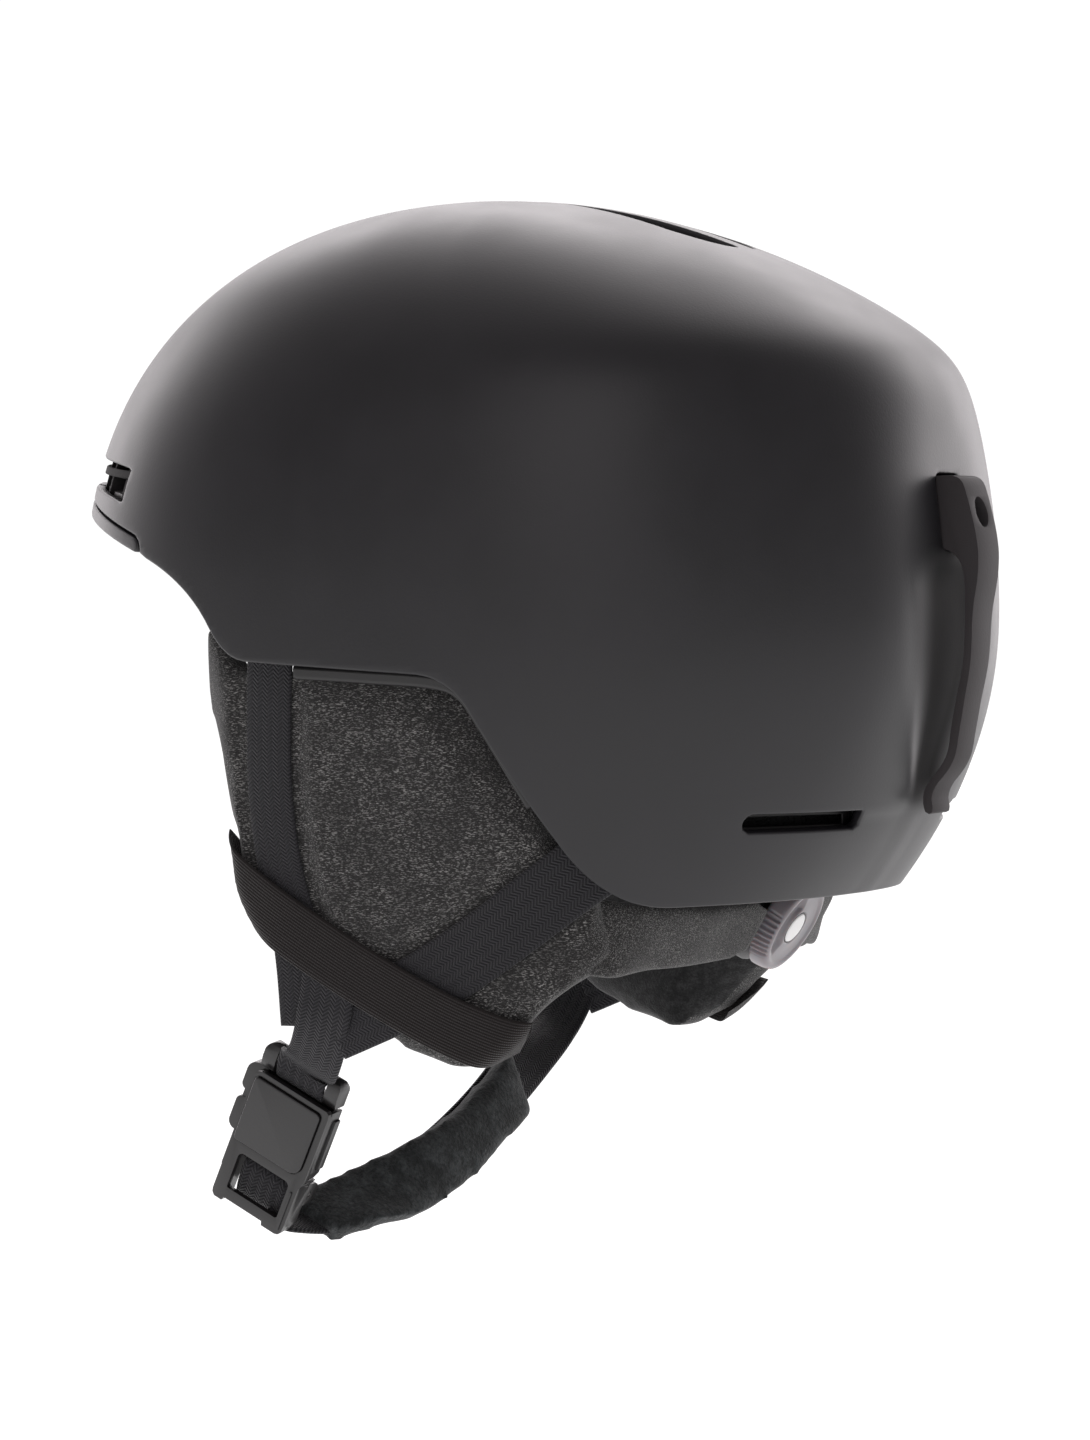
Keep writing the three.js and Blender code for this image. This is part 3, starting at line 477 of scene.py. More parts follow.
# ---------------------------------------------------------------- cutting a surface and giving it a wall
def trimmed_wall(point, region, angles, levels, wall, radius, roll=4, pole=True, ring=True):
    """A closed body: the surface inside a region, its inner side a wall's thickness in, and rolled edges.
    Grid points close to the outline move onto it, and the cells that it still crosses are cut along it."""
    A, L = np.meshgrid(angles, levels, indexing="ij")
    na, nl = A.shape
    cell, row = abs(angles[1] - angles[0]), levels[2] - levels[1]
    h = 1e-4

    def value(a, l):
        return region(point(a, l)) - radius

    G = value(A, L)
    near = (np.abs(G) < 0.55) & (L > 0.02)
    a, l = A[near], L[near]
    for _ in range(4):
        g = value(a, l)
        ga = (value(a + h, l) - value(a - h, l)) / (2 * h) * cell
        gl = (value(a, l + h) - value(a, l - h)) / (2 * h) * row
        norm = np.maximum(ga**2 + gl**2, 1e-6)
        a = a - np.clip(g * ga / norm, -0.3, 0.3) * cell
        l = l - np.clip(g * gl / norm, -0.3, 0.3) * row
    moved = np.hypot((a - A[near]) / cell, (l - L[near]) / row)
    good = (np.abs(value(a, l)) < 0.01) & (moved < 0.42)
    A[near], L[near] = np.where(good, a, A[near]), np.where(good, l, L[near])
    G[near] = np.where(good, 0.0, G[near])
    G[np.abs(G) < 1e-9] = 0.0

    pa, pl, flat = A.ravel(), L.ravel(), G.ravel()
    index = np.arange(na * nl).reshape(na, nl)
    cuts = {}

    def cut(i, j):
        key = (min(i, j), max(i, j))
        if key not in cuts:
            cuts[key] = len(pa) + len(cuts)
        return cuts[key]

    faces = []
    for i in range(na if ring else na - 1):
        k = (i + 1) % na
        for j in range(nl - 1):
            corners = [index[i, j], index[i, j + 1], index[k, j + 1], index[k, j]]
            if pole and j == 0:
                corners = [index[0, 0], index[i, 1], index[k, 1]]
            v = [flat[c] for c in corners]
            if min(v) >= 0:
                if max(v) > 0:
                    faces.append(corners)
                continue
            if max(v) <= 0:
                continue
            face = []
            for m, c in enumerate(corners):
                d = corners[(m + 1) % len(corners)]
                if flat[c] >= 0:
                    face.append(c)
                if (flat[c] > 0 > flat[d]) or (flat[c] < 0 < flat[d]):
                    face.append(cut(c, d))
            if len(face) > 2:
                faces.append(face)
    if cuts:
        ends = np.array(list(cuts))
        (a0, a1), (l0, l1) = pa[ends].T, pl[ends].T
        a1 = a1 + np.round((a0 - a1) / (2 * np.pi)) * 2 * np.pi
        low, high = np.zeros(len(ends)), np.ones(len(ends))
        sign = np.sign(flat[ends[:, 0]])
        for _ in range(22):
            mid = (low + high) / 2
            here = np.sign(value(a0 + (a1 - a0) * mid, l0 + (l1 - l0) * mid)) == sign
            low, high = np.where(here, mid, low), np.where(here, high, mid)
        pa = np.append(pa, a0 + (a1 - a0) * low)
        pl = np.append(pl, l0 + (l1 - l0) * low)

    used = sorted({int(v) for f in faces for v in f})
    rename = {v: i for i, v in enumerate(used)}
    faces = [[rename[int(v)] for v in f] for f in faces]
    pa, pl = pa[used], pl[used]
    return close_wall(point(pa, pl), surface_normal(point, pa, pl), faces, wall, radius, roll)


def close_wall(P, N, faces, wall, radius, roll):
    """Gives a sheet of points P with normals N an inner side and a rolled edge along every border."""
    count = len(P)
    edges = {}
    for f in faces:
        for m, v in enumerate(f):
            edges[(v, f[(m + 1) % len(f)])] = f
    border = {v: w for (v, w) in edges if (w, v) not in edges}
    verts = [P, P - wall * N]
    total = 2 * count
    faces_out = [list(f) for f in faces] + [[v + count for v in reversed(f)] for f in faces]
    seen = set()
    for start in list(border):
        if start in seen:
            continue
        loop, v = [], start
        while v not in seen and v in border:
            seen.add(v)
            loop.append(v)
            v = border[v]
        loop = np.array(loop)
        along = unit(P[np.roll(loop, -1)] - P[np.roll(loop, 1)])
        out = np.cross(along, N[loop])
        middles = np.array([P[edges[(v, border[v])]].mean(0) for v in loop])
        if ((P[loop] - middles) * out).sum() < 0:
            out = -out
        for _ in range(2):
            out = out + 0.5 * (np.roll(out, 1, 0) + np.roll(out, -1, 0))
        out = unit(out - (out * N[loop]).sum(1)[:, None] * N[loop])
        turns = np.linspace(0, np.pi / 2, roll + 1)[1:]
        rows = [(radius * math.sin(t), radius * (1 - math.cos(t))) for t in turns]
        rows += [(o, wall - d) for o, d in reversed(rows)]
        rings = [loop]
        for o, d in rows:
            verts.append(P[loop] + out * o - N[loop] * d)
            rings.append(np.arange(total, total + len(loop)))
            total += len(loop)
        rings.append(loop + count)
        for ring, fresh in zip(rings, rings[1:]):
            quads = np.stack([np.roll(ring, -1), ring, fresh, np.roll(fresh, -1)], -1)
            faces_out += quads.tolist()
    return np.concatenate(verts), faces_out


def level_rows(upper, lower, bottom):
    return np.concatenate([np.linspace(0, 1, upper + 1), np.linspace(1, bottom, lower + 1)[1:]])


def build_shell():
    angles = np.linspace(0, 2 * np.pi, 361)[:-1]
    body = trimmed_wall(shell_point, shell_region, angles, level_rows(120, 56, 1.95), WALL, 0.8)
    return outward(new_object("shell_outer", *body, SHELL))


def front_strip(name, region, sink, degrees, levels, wall, radius, material):
    """A patch of the dome at the front, between two headings and two levels."""
    angles = np.linspace(math.radians(degrees[0]), math.radians(degrees[1]), degrees[2])
    body = trimmed_wall(lambda a, l: dome(a, l, -sink, 0), region, angles, np.linspace(*levels), wall, radius,
                        pole=False, ring=False)
    return outward(new_object(name, *body, material))


def brim_region(p):
    end, height = BRIM_END_Y, BRIM_HEIGHT - 0.2
    strip = curve(
        (-170, front_line(-170)), (end - 0.3, front_line(end - 0.3)), (end - 0.3, BRIM_END_Z + height, "q"),
        (end - 3, front_line(end - 3) + height), (-170, front_line(-170) + height),
    )
    return inside_distance(strip, p[..., [1, 2]])


place(build_shell(), HELMET, "shell", "outer_shell")
brim = front_strip("brim_strip", brim_region, 0, (100, 260, 260), (0.66, 1.0, 90), 9, 0.7, SHELL)
place(brim, HELMET, "shell", "front_brim")


# ---------------------------------------------------------------- fabrics
def fibres(n, turns, across, along):
    """Short pale fibres lying in several directions, as layers of stretched noise."""
    total = None
    for turn in turns:
        layer = n.noise(n.mapped(n.object, (across, along, across), turn), 1.0, 1, 0.4)
        sharp = n.ramp(layer, 0.63, 0.77)
        total = sharp if total is None else n.math("MAXIMUM", total, sharp)
    return total


def heather(name, dark, pale, bump=0.25):
    """A dark knit flecked with pale fibres."""
    n = Nodes(name)
    turns = ((15, 0, 20), (75, 30, 0), (135, 0, 60), (105, 60, 30), (50, 20, 100))
    flecks = fibres(n, turns, 3300, 760)
    clump = n.noise(n.object, 130, 3)
    knit = n.noise(n.object, 2600, 2, 0.6)
    patch = n.ramp(clump, 0.36, 0.62, 0.45, 1.0)
    ground = n.mix(n.ramp(knit, 0.3, 0.75), dark, lighter(dark, 2.6))
    shade = n.mix(n.math("MULTIPLY", flecks, patch), ground, pale)
    height = n.math("MULTIPLY_ADD", knit, 0.8, n.math("MULTIPLY", flecks, 0.6))
    return n.finish(shade, 0.95, n.bump(height, bump), Sheen_Weight=0.3, Sheen_Roughness=0.5,
                    Specular_IOR_Level=0.15)


def webbing(name, color, pitch=1.15, column=1.7, yarn=0.42):
    """Flat webbing: diagonal floats that turn at each column, as a herringbone. UVs are millimetres."""
    n = Nodes(name)
    along, across, _ = n.split(n.uv())
    fold = n.math("PINGPONG", across, column)
    wave = n.wave(n.math("MULTIPLY_ADD", fold, 0.9, along), pitch)
    thread = n.wave(across, yarn)
    fuzz = n.noise(n.object, 3000, 2)
    height = n.math("MULTIPLY_ADD", thread, 0.25, wave)
    # Painted light and shade: the raised floats are lighter and the hollows of the weave darker as the yarn's
    # height runs, with a random fuzz tone over it.
    relief_shade_and_fuzz = n.math("MULTIPLY", n.ramp(height, -1.1, 1.1), n.ramp(fuzz, 0.2, 0.7, 0.5, 1.0))
    shade = n.mix(relief_shade_and_fuzz, color, lighter(color, 2.66))
    rough = n.ramp(height, -1, 1, 0.75, 0.55)
    total = n.math("MULTIPLY_ADD", fuzz, 0.6, height)
    return n.finish(shade, rough, n.bump(total, 0.13), Sheen_Weight=0.12, Specular_IOR_Level=0.3)


def ribbed(name, color, pitch=0.85, yarn=0.6):
    """Knitted elastic: fine ribs along it with a soft cross texture. UVs are millimetres."""
    n = Nodes(name)
    along, across, _ = n.split(n.uv())
    rib, cross = n.wave(across, pitch), n.wave(along, yarn)
    fuzz = n.noise(n.object, 2500, 2)
    height = n.math("MULTIPLY_ADD", n.math("MULTIPLY", cross, rib), 0.5, rib)
    # Painted light and shade: the crests of the ribs are lighter and the furrows darker as their height runs,
    # with a random fuzz tone over it.
    shade = n.mix(n.math("MULTIPLY", n.ramp(height, -1, 1), fuzz), color, lighter(color, 2.7))
    total = n.math("MULTIPLY_ADD", fuzz, 0.8, height)
    return n.finish(shade, 0.85, n.bump(total, 0.1), Sheen_Weight=0.2, Specular_IOR_Level=0.2)


def fleecy(name, dark, pale, scale=900, depth=0.5):
    """Brushed fabric: curled pile gathered in tufts."""
    n = Nodes(name)
    curl = n.noise(n.object, scale, 4, 0.65)
    tuft = n.noise(n.object, scale * 0.22, 3, 0.6)
    shade = n.mix(n.ramp(n.math("MULTIPLY", curl, tuft), 0.15, 0.42), dark, pale)
    height = n.math("MULTIPLY_ADD", tuft, 1.4, curl)
    return n.finish(shade, 1.0, n.bump(height, depth), Sheen_Weight=0.25, Sheen_Roughness=0.6,
                    Specular_IOR_Level=0.1)


HEATHER = heather("heather_knit", (0.013, 0.0125, 0.0125), (0.36, 0.35, 0.34))
WEBBING = webbing("black_webbing", (0.0085, 0.008, 0.0098))
ELASTIC = ribbed("black_elastic", (0.0085, 0.0065, 0.0062))
FLEECE = fleecy("black_fleece", (0.006, 0.0075, 0.008), (0.045, 0.05, 0.052))
LINING = fleecy("lining_fabric", (0.006, 0.006, 0.0064), (0.03, 0.03, 0.031), 1600, 0.25)


# ---------------------------------------------------------------- straps
def spline(points, count):
    """A smooth curve through points, evenly spaced along it."""
    p = np.asarray(points, float)
    p = np.concatenate([[2 * p[0] - p[1]], p, [2 * p[-1] - p[-2]]])
    out = []
    for i in range(1, len(p) - 2):
        p0, p1, p2, p3 = p[i - 1], p[i], p[i + 1], p[i + 2]
        t = np.linspace(0, 1, 30, endpoint=i == len(p) - 3)[:, None]
        out.append(0.5 * (2 * p1 + (p2 - p0) * t + (2 * p0 - 5 * p1 + 4 * p2 - p3) * t**2
                          + (3 * p1 - p0 - 3 * p2 + p3) * t**3))
    line = np.concatenate(out)
    along = lengths_along(line)
    even = np.linspace(0, along[-1], count)
    return np.stack([np.interp(even, along, line[:, k]) for k in range(line.shape[1])], -1)


def strap_section(width, thick, rows=9):
    """Section of a flat strap with round edges, as (across, out) pairs from one edge round to that edge."""
    r = thick / 2
    flat = np.linspace(-width / 2 + r, width / 2 - r, rows)
    arc = np.linspace(np.pi / 2, -np.pi / 2, 5)[1:-1]
    top = [(s, thick) for s in flat]
    right = [(width / 2 - r + r * math.cos(t), r + r * math.sin(t)) for t in arc]
    under = [(s, 0.0) for s in flat[::-1]]
    left = [(-a, b) for a, b in reversed(right)]
    return np.array(top + right + under + left)


def sweep(name, sections, material, lengths, across):
    """A closed body through sections (n, m, 3), with millimetre UVs along and across it."""
    n, m = sections.shape[:2]
    faces = ring_faces(n, m) + [list(range(m))[::-1], list(range((n - 1) * m, n * m))]
    uvs = np.stack([np.repeat(lengths, m), np.tile(across, n)], -1)
    return outward(new_object(name, sections.reshape(-1, 3), faces, material, uvs))


def pad_face(y, z, out=0.0):
    """A point on the left ear pad's outer face, or a distance out from it."""
    y, z = np.asarray(y, float), np.asarray(z, float)
    drawn_in = 0.006 * np.maximum(0, -y - 35) ** 2 + 0.004 * np.maximum(0, y - 20) ** 2
    return np.stack([92 + 0.108 * (z + 100) - drawn_in + out, y, z], -1)


PAD_OUTLINE = spline([
    (-66.5, -94), (-66, -105), (-65.2, -116), (-63.6, -128), (-60.6, -144), (-58.4, -154), (-57.2, -164),
    (-53.6, -172), (-48, -180), (-43.5, -186), (-37, -191), (-22, -203.5), (-6, -211.5), (6, -214.8),
    (16, -214.3),
    (26, -209), (35, -200.5), (44, -191), (52, -186), (56, -180), (55, -164), (50, -154), (44, -144),
    (34, -128),
    (26, -116), (13, -105), (-52, -101), (-61, -94), (-66.5, -94),
], 160)


def wrapped(y, z, turn=4.0, margin=3.5, h=0.2):
    """Where a strap that passes the pad's edge goes round it: the new y and z, and how far in it turns."""
    def depth(a, b):
        return inside_distance(PAD_OUTLINE, np.stack([a, b], -1))

    past = np.maximum(margin - depth(y, z), 0)
    inward = unit(np.stack([depth(y + h, z) - depth(y - h, z), depth(y, z + h) - depth(y, z - h)], -1))
    bend = np.minimum(past / turn, np.pi / 2)
    back = past - turn * np.sin(bend)
    deep = turn * (1 - np.cos(bend)) + np.maximum(past - turn * np.pi / 2, 0)
    return y + inward[..., 0] * back, z + inward[..., 1] * back, deep


def face_strap(name, route, width, out, thick, material, side):
    """A strap on an ear pad's face, its underside out from it. The elastic goes round the pad's edges."""
    line = spline(route, 110)
    ahead = unit(np.gradient(line, axis=0))
    across = np.stack([-ahead[:, 1], ahead[:, 0]], -1)
    s, d = strap_section(width, thick).T
    y, z = (line[:, k, None] + across[:, k, None] * s for k in (0, 1))
    deep = 0.0
    if material is ELASTIC:
        y, z, deep = wrapped(y, z)
    points = pad_face(y, z, out + d - deep)
    points[..., 0] *= side
    return sweep(name, points, material, lengths_along(line), s)


# Routes over the left ear pad's face, as (y, z).
FRONT_ROUTE = [
    (-41, -97), (-42.6, -115), (-43.5, -135), (-42, -155), (-38.5, -172), (-37, -186), (-36.5, -203),
]
REAR_ROUTE = [
    (57.5, -152.6), (46, -160.8), (26, -175.3), (6, -188), (-8, -195), (-18.5, -199.6), (-27, -203.2),
]
ELASTIC_ROUTE = [
    (-68, -155), (-57, -163), (-40, -173.9), (-18, -186.8), (6, -198.8), (24, -205.4), (34.5, -207.9)
]
TRIM_ROUTE = [(-33, -102.2), (-10, -103.2), (10, -104.4), (19, -107.5), (26, -117), (39, -138.5)]
FACE_STRAPS = (
    ("harness_front", FRONT_ROUTE, 15, 0.25, 1.25, WEBBING, "webbing", "front_strap"),
    ("harness_rear", REAR_ROUTE, 19, 0.4, 1.35, WEBBING, "webbing", "rear_strap"),
    ("elastic", ELASTIC_ROUTE, 17.2, 2.5, 1.0, ELASTIC, "elastic", "elastic_band"),
    ("pad_trim", TRIM_ROUTE, 4, 0.3, 2.0, BLACK, "rubber_trim", "ear_pad_trim"),
)

for name, side in SIDES:
    for piece, route, width, out, thick, material, slot, node in FACE_STRAPS:
        strap = face_strap(f"{piece}_{name}", route, width, out, thick, material, side)
        place(strap, HELMET, slot, f"{node}_{name}")


# ---------------------------------------------------------------- foam liner
LINER_GAP = -3.4  # from the shell's outside to the liner's
CAVITY = np.array([-23.0, -26.0, -26.0, -26.0])  # and to the cavity at the sides, front, rear and crown
LINER_RIM = rim_outline(BRIM_HEIGHT + 1.2, 1.2)
LINER_RIM[:, 1] = np.where(LINER_RIM[:, 0] > 51, np.maximum(LINER_RIM[:, 1], -148.8), LINER_RIM[:, 1])


def liner_plain(angle, level):
    return dome(angle, level, LINER_GAP)


def liner_outside(angle, level):
    """Just under the shell, sunk where the vents' inserts sit in it."""
    p = liner_plain(angle, level)
    sunk = 9.5 * np.maximum.reduce([smooth(d, -4, -2.4) for d in vent_distances(p)])
    return p - surface_normal(liner_plain, angle, level) * sunk[..., None]


def rim_level(point, outline, angles):
    """Where each meridian first meets the rim, found by halving."""
    rows = np.linspace(0.4, 2.0, 161)
    a, l = np.meshgrid(angles, rows, indexing="ij")
    outside = inside_distance(outline, point(a, l)[..., [1, 2]]) < 0
    first = np.argmax(outside, axis=1)
    low, high = rows[first - 1], rows[first]
    for _ in range(16):
        mid = (low + high) / 2
        inside = inside_distance(outline, point(angles, mid)[..., [1, 2]]) > 0
        low, high = np.where(inside, mid, low), np.where(inside, high, mid)
    return low


def build_liner():
    """Outside, rim and cavity, as rows of points from the apex down and back up."""
    def cavity(a, l):
        return dome(a, l, CAVITY, 0)

    angles = np.linspace(0, 2 * np.pi, 289)[:-1]
    rim = rim_level(liner_plain, LINER_RIM, angles)
    rows = [liner_outside(angles, rim * t) for t in np.linspace(0.012, 1, 100) ** 0.9]
    outer_edge = liner_plain(angles, rim)
    rim = rim_level(cavity, LINER_RIM, angles)
    inner_edge = cavity(angles, rim)
    across = unit(inner_edge - outer_edge)
    rows.append(outer_edge + across - [0, 0, 0.25])
    rows.append((outer_edge + inner_edge) / 2 - [0, 0, 0.3])
    rows.append(inner_edge - across - [0, 0, 0.25])
    rows += [cavity(angles, rim * t) for t in np.linspace(1, 0.012, 80) ** 0.9]
    tips = [[0, APEX_Y, CROWN + LINER_GAP], [0, APEX_Y, CROWN + CAVITY[3]]]
    faces = capped_faces(len(rows), len(angles))
    return outward(new_object("foam_liner", np.concatenate(rows + [tips]), faces, FOAM))


def beaded(name):
    """Moulded foam: a tight mosaic of pressed beads with darker joints."""
    n = Nodes(name)
    cells = n.add("ShaderNodeTexVoronoi", feature="DISTANCE_TO_EDGE")
    n.link(n.object, cells.inputs["Vector"])
    cells.inputs["Scale"].default_value = 330
    joint = n.ramp(cells.outputs["Distance"], 0.0, 0.12)
    cloudy = n.noise(n.object, 60, 3)
    shade = n.mix(joint, (0.005, 0.005, 0.005), (0.013, 0.013, 0.0135))
    return n.finish(n.mix(n.ramp(cloudy, 0.3, 0.7), shade, (0.016, 0.016, 0.0165)), 0.85,
                    n.bump(joint, 0.25), Specular_IOR_Level=0.25)


FOAM = beaded("black_foam")
place(build_liner(), HELMET, "foam", "eps_liner")


# ---------------------------------------------------------------- building from outlines
def prism(name, outline_points, low, high, to_world, material=None):
    """A flat outline carried from low to high along the third axis of a frame."""
    pts = np.asarray(outline_points, float)
    n = len(pts)
    verts = np.concatenate([to_world(np.c_[pts, np.full(n, low)]), to_world(np.c_[pts, np.full(n, high)])])
    faces = [list(range(n))[::-1], list(range(n, 2 * n))]
    faces += [[k, (k + 1) % n, n + (k + 1) % n, n + k] for k in range(n)]
    return outward(new_object(name, verts, faces, material, smooth_shade=False))


def rounded(x0, y0, x1, y1, r=1.0, steps=4):
    """A rectangle's outline with round corners. r is one radius, or four from the lower left round."""
    radii = [r] * 4 if np.isscalar(r) else r
    out = []
    corners = ((x0, y0, 180), (x1, y0, 270), (x1, y1, 0), (x0, y1, 90))
    for (x, y, start), q in zip(corners, radii):
        cx, cy = x + (q if x == x0 else -q), y + (q if y == y0 else -q)
        for a in np.radians(np.linspace(start, start + 90, steps + 1)):
            out.append((cx + q * math.cos(a), cy + q * math.sin(a)))
    return out


def ring_of(radius, count=48, x=0.0, y=0.0):
    a = np.linspace(0, 2 * np.pi, count + 1)[:-1]
    return np.c_[x + radius * np.cos(a), y + radius * np.sin(a)]


def combine(base, others, operation):
    """Adds other bodies to base, or cuts or crops it with them."""
    def weld(bm):
        bmesh.ops.remove_doubles(bm, verts=bm.verts, dist=1e-6)
        bmesh.ops.recalc_face_normals(bm, faces=bm.faces)

    for other in others:
        modify(base, "BOOLEAN", operation=operation, object=other, solver="EXACT", use_hole_tolerant=True)
        bpy.data.objects.remove(other)
        edit_mesh(base, weld)
    return base


# ---------------------------------------------------------------- goggle clip
# The side view of the clip's block and arm, as (y, z): down its outside, then up its inside.
CLIP_OUTSIDE = [
    (126.6, -46.9), (129.5, -46.7), (132.2, -46.9), (133.9, -47.7), (135.0, -49.2), (135.9, -51.8),
    (136.7, -54.6),
    (137.5, -57.6), (138.3, -60.8), (139.0, -64.4), (139.45, -68), (139.5, -71), (139.3, -75), (138.7, -79),
    (138.0, -83), (137.5, -88), (137.3, -93), (136.9, -98.8), (136.1, -104), (135.0, -109.4), (134.0, -115),
    (133.1, -120), (132.5, -123.7), (131.8, -126.4), (130.4, -129.2), (128.4, -131.9), (126.6, -134),
    (125.4, -136.2), (124.9, -138.4), (125.3, -140.6), (125.1, -142.1),
]
CLIP_INSIDE = [
    (124.2, -142.6), (123.1, -142.1), (122.5, -140.4), (122.3, -138.2), (122.7, -135.9), (123.9, -133.7),
    (125.9, -131.2), (127.9, -128.4), (129.2, -126), (130.0, -123.4), (130.6, -119), (131.5, -114),
    (132.5, -109),
    (133.8, -103.5), (134.7, -98.5), (135.1, -93), (135.3, -88), (135.4, -83), (135.4, -78.5), (135.1, -74.8),
    (134.2, -71.6), (132.6, -69.3), (130.6, -68), (128.6, -67.4), (126.6, -67.2),
]
CLIP_HALF, SCREW_Z = 8.3, -57


def rearwards(p):
    """From an outline in x and z, carried along y."""
    return p[:, [0, 2, 1]]


def build_clip():
    """The block and the arm in one, narrower down the arm, with the screw's hole."""
    line = spline(CLIP_OUTSIDE, 84).tolist() + spline(CLIP_INSIDE, 62).tolist()
    clip = prism("goggle_clip", line, -CLIP_HALF, CLIP_HALF, lambda p: p[:, [2, 0, 1]], CLIP)
    for v in clip.data.vertices:
        v.co.x *= np.interp(-v.co.z / MM, [60, 82, 99, 112, 128, 142], [1.0, 0.94, 0.86, 0.79, 0.76, 0.8])
    combine(clip, [prism("hole", ring_of(4.3, 40, 0, SCREW_Z), 132, 150, rearwards)], "DIFFERENCE")
    return bevel(clip, 1.15, 4, 40)


clip = build_clip()
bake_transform(clip)
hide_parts("goggle_clip_base", "goggle_clip_arm")


def build_screw():
    head = prism("clip_screw", ring_of(3.6, 40, 0, SCREW_Z), 132.3, 134.3, rearwards, BLACK)
    cross = [prism("cut", rounded(-w, SCREW_Z - h, w, SCREW_Z + h, 0.2), 133.2, 136, rearwards)
             for w, h in ((2.2, 0.5), (0.5, 2.2))]
    combine(head, cross, "DIFFERENCE")
    return bevel(head, 0.3, 2, 40)


place(build_screw(), HELMET, "black_plastic", "goggle_clip_screw")

# ---------------------------------------------------------------- fit dial
TILT = math.radians(30)
DIAL_UP = np.array([0, math.sin(TILT), math.cos(TILT)])
DIAL_OUT = np.array([0, math.cos(TILT), -math.sin(TILT)])
DIAL_BASE = np.array([0, 80.7, -177]) - DIAL_OUT * 12.6


def dial_space(p):
    """From the dial's own x, y and depth to the helmet's."""
    p = np.asarray(p, float)
    return DIAL_BASE + p[..., :1] * [-1, 0, 0] + p[..., 1:2] * DIAL_UP + p[..., 2:3] * DIAL_OUT


def turned(name, profile, material, to_world, count=96, shape=None, ring=False):
    """A body of revolution from (radius, depth) pairs, which shape may change. A ring's profile is closed."""
    a = np.linspace(0, 2 * np.pi, count + 1)[:-1]
    radius, depth = (np.repeat(column, count).reshape(-1, count) for column in np.array(profile, float).T)
    if shape:
        radius, depth = shape(a, radius, depth)
    verts = np.stack([radius * np.cos(a), radius * np.sin(a), depth], -1).reshape(-1, 3)
    if ring:
        faces = ring_faces(len(profile), count, closed=True)
    else:
        verts = np.concatenate([verts, [[0, 0, profile[0][1]], [0, 0, profile[-1][1]]]])
        faces = capped_faces(len(profile), count)
    return outward(new_object(name, to_world(verts), faces, material))


def smoky(name):
    """Smoke-grey plastic that lets a little light in."""
    n = Nodes(name)
    cloudy = n.noise(n.object, 120, 2)
    fine = n.noise(n.object, 1800, 2)
    shade = n.mix(cloudy, (0.155, 0.14, 0.155), (0.215, 0.195, 0.21))
    return n.finish(shade, n.math("MULTIPLY_ADD", cloudy, 0.1, 0.3), n.bump(fine, 0.03),
                    Subsurface_Weight=0.25, Subsurface_Scale=0.004, Coat_Weight=0.15, Coat_Roughness=0.3)


SMOKE = smoky("smoky_plastic")


def knob_shape(a, r, d):
    """Grip ribs in four groups round the side, and a crescent sunk in the face."""
    turn = np.degrees(a + math.radians(22)) % 90
    group = smooth(turn, 3, 6) * (1 - smooth(turn, 63, 66))
    rib = 0.5 - 0.5 * np.cos(np.radians(turn * 360 / 7.0))
    side = smooth(r, 13.2, 14.2) * (1 - smooth(d, 11.3, 12.1)) * smooth(d, 6.5, 7.2)
    r2 = r - 0.95 * group * rib * side
    x, y = r * np.cos(a), r * np.sin(a)
    lean = math.radians(167)
    inner = np.hypot(x + 2.3 * math.cos(lean), y + 2.3 * math.sin(lean))
    turned_by = np.abs((a - lean + math.pi) % (2 * math.pi) - math.pi)
    crescent = smooth(inner, 7.6, 8.4) * (1 - smooth(r, 10.4, 11.3)) * (r > 5.4) * (d > 10)
    return r2, d - 1.3 * crescent * (1 - smooth(turned_by, 0.9, 1.25))


def knob_face(r, low=11.75, valley=9.4):
    """Depth of the knob's dished face at a radius."""
    return low + (0.05 * ((r - valley) / 1.7) ** 2 if r > valley else 0.3 * ((valley - r) / 3.6) ** 2)


KNOB = (
    [(13.6, 6.3), (14.5, 6.45), (15.0, 6.9), (15.0, 7.6), (14.95, 8.3), (14.85, 9.1), (14.7, 9.9),
    (14.55, 10.7)]
    + [(14.3, 11.5), (13.9, 12.0), (13.3, 12.25), (12.7, 12.3), (12.2, 12.2), (11.8, 12.0), (11.4, 11.85)]
    + [(r, knob_face(r)) for r in (11.1, 10.9, *np.arange(10.6, 5.7, -0.4))]
    + [(5.5, 12.08), (5.25, 12.0), (5.12, 11.8), (5.1, 11.0), (5.08, 10.75)]
)
CAP = [(4.3, 10.9), (4.62, 11.0), (4.68, 11.3), (4.66, 11.85), (4.5, 12.12), (4.2, 12.25), (3.5, 12.33),
(2.0, 12.4)]
SEAL = [(4.75, 10.85), (4.75, 11.95), (4.82, 12.0), (5.0, 12.0), (5.05, 11.9), (5.05, 10.85)]
HOUSING = [(15.4, 0.0), (15.95, 0.4), (16.0, 1.2), (15.9, 3.2), (15.6, 3.8), (15.0, 4.0), (11.4, 4.0),
    (11.1, 3.8),
           (11.0, 3.4), (11.0, 1.0)]

knob = turned("dial_knob_ribbed", KNOB, SMOKE, dial_space, 288, knob_shape)
place(knob, "fit_dial", "smoke_plastic", "dial_knob")
place(turned("dial_cap_disc", CAP, WHITE, dial_space), "fit_dial", "white_plastic", "dial_cap")
place(turned("dial_cap_seal", SEAL, BLACK, dial_space, ring=True), "fit_dial", "black_plastic")
housing = turned("dial_housing_cup", HOUSING, BLACK, dial_space, 144)
place(housing, "nape_cradle", "black_plastic", "dial_housing")


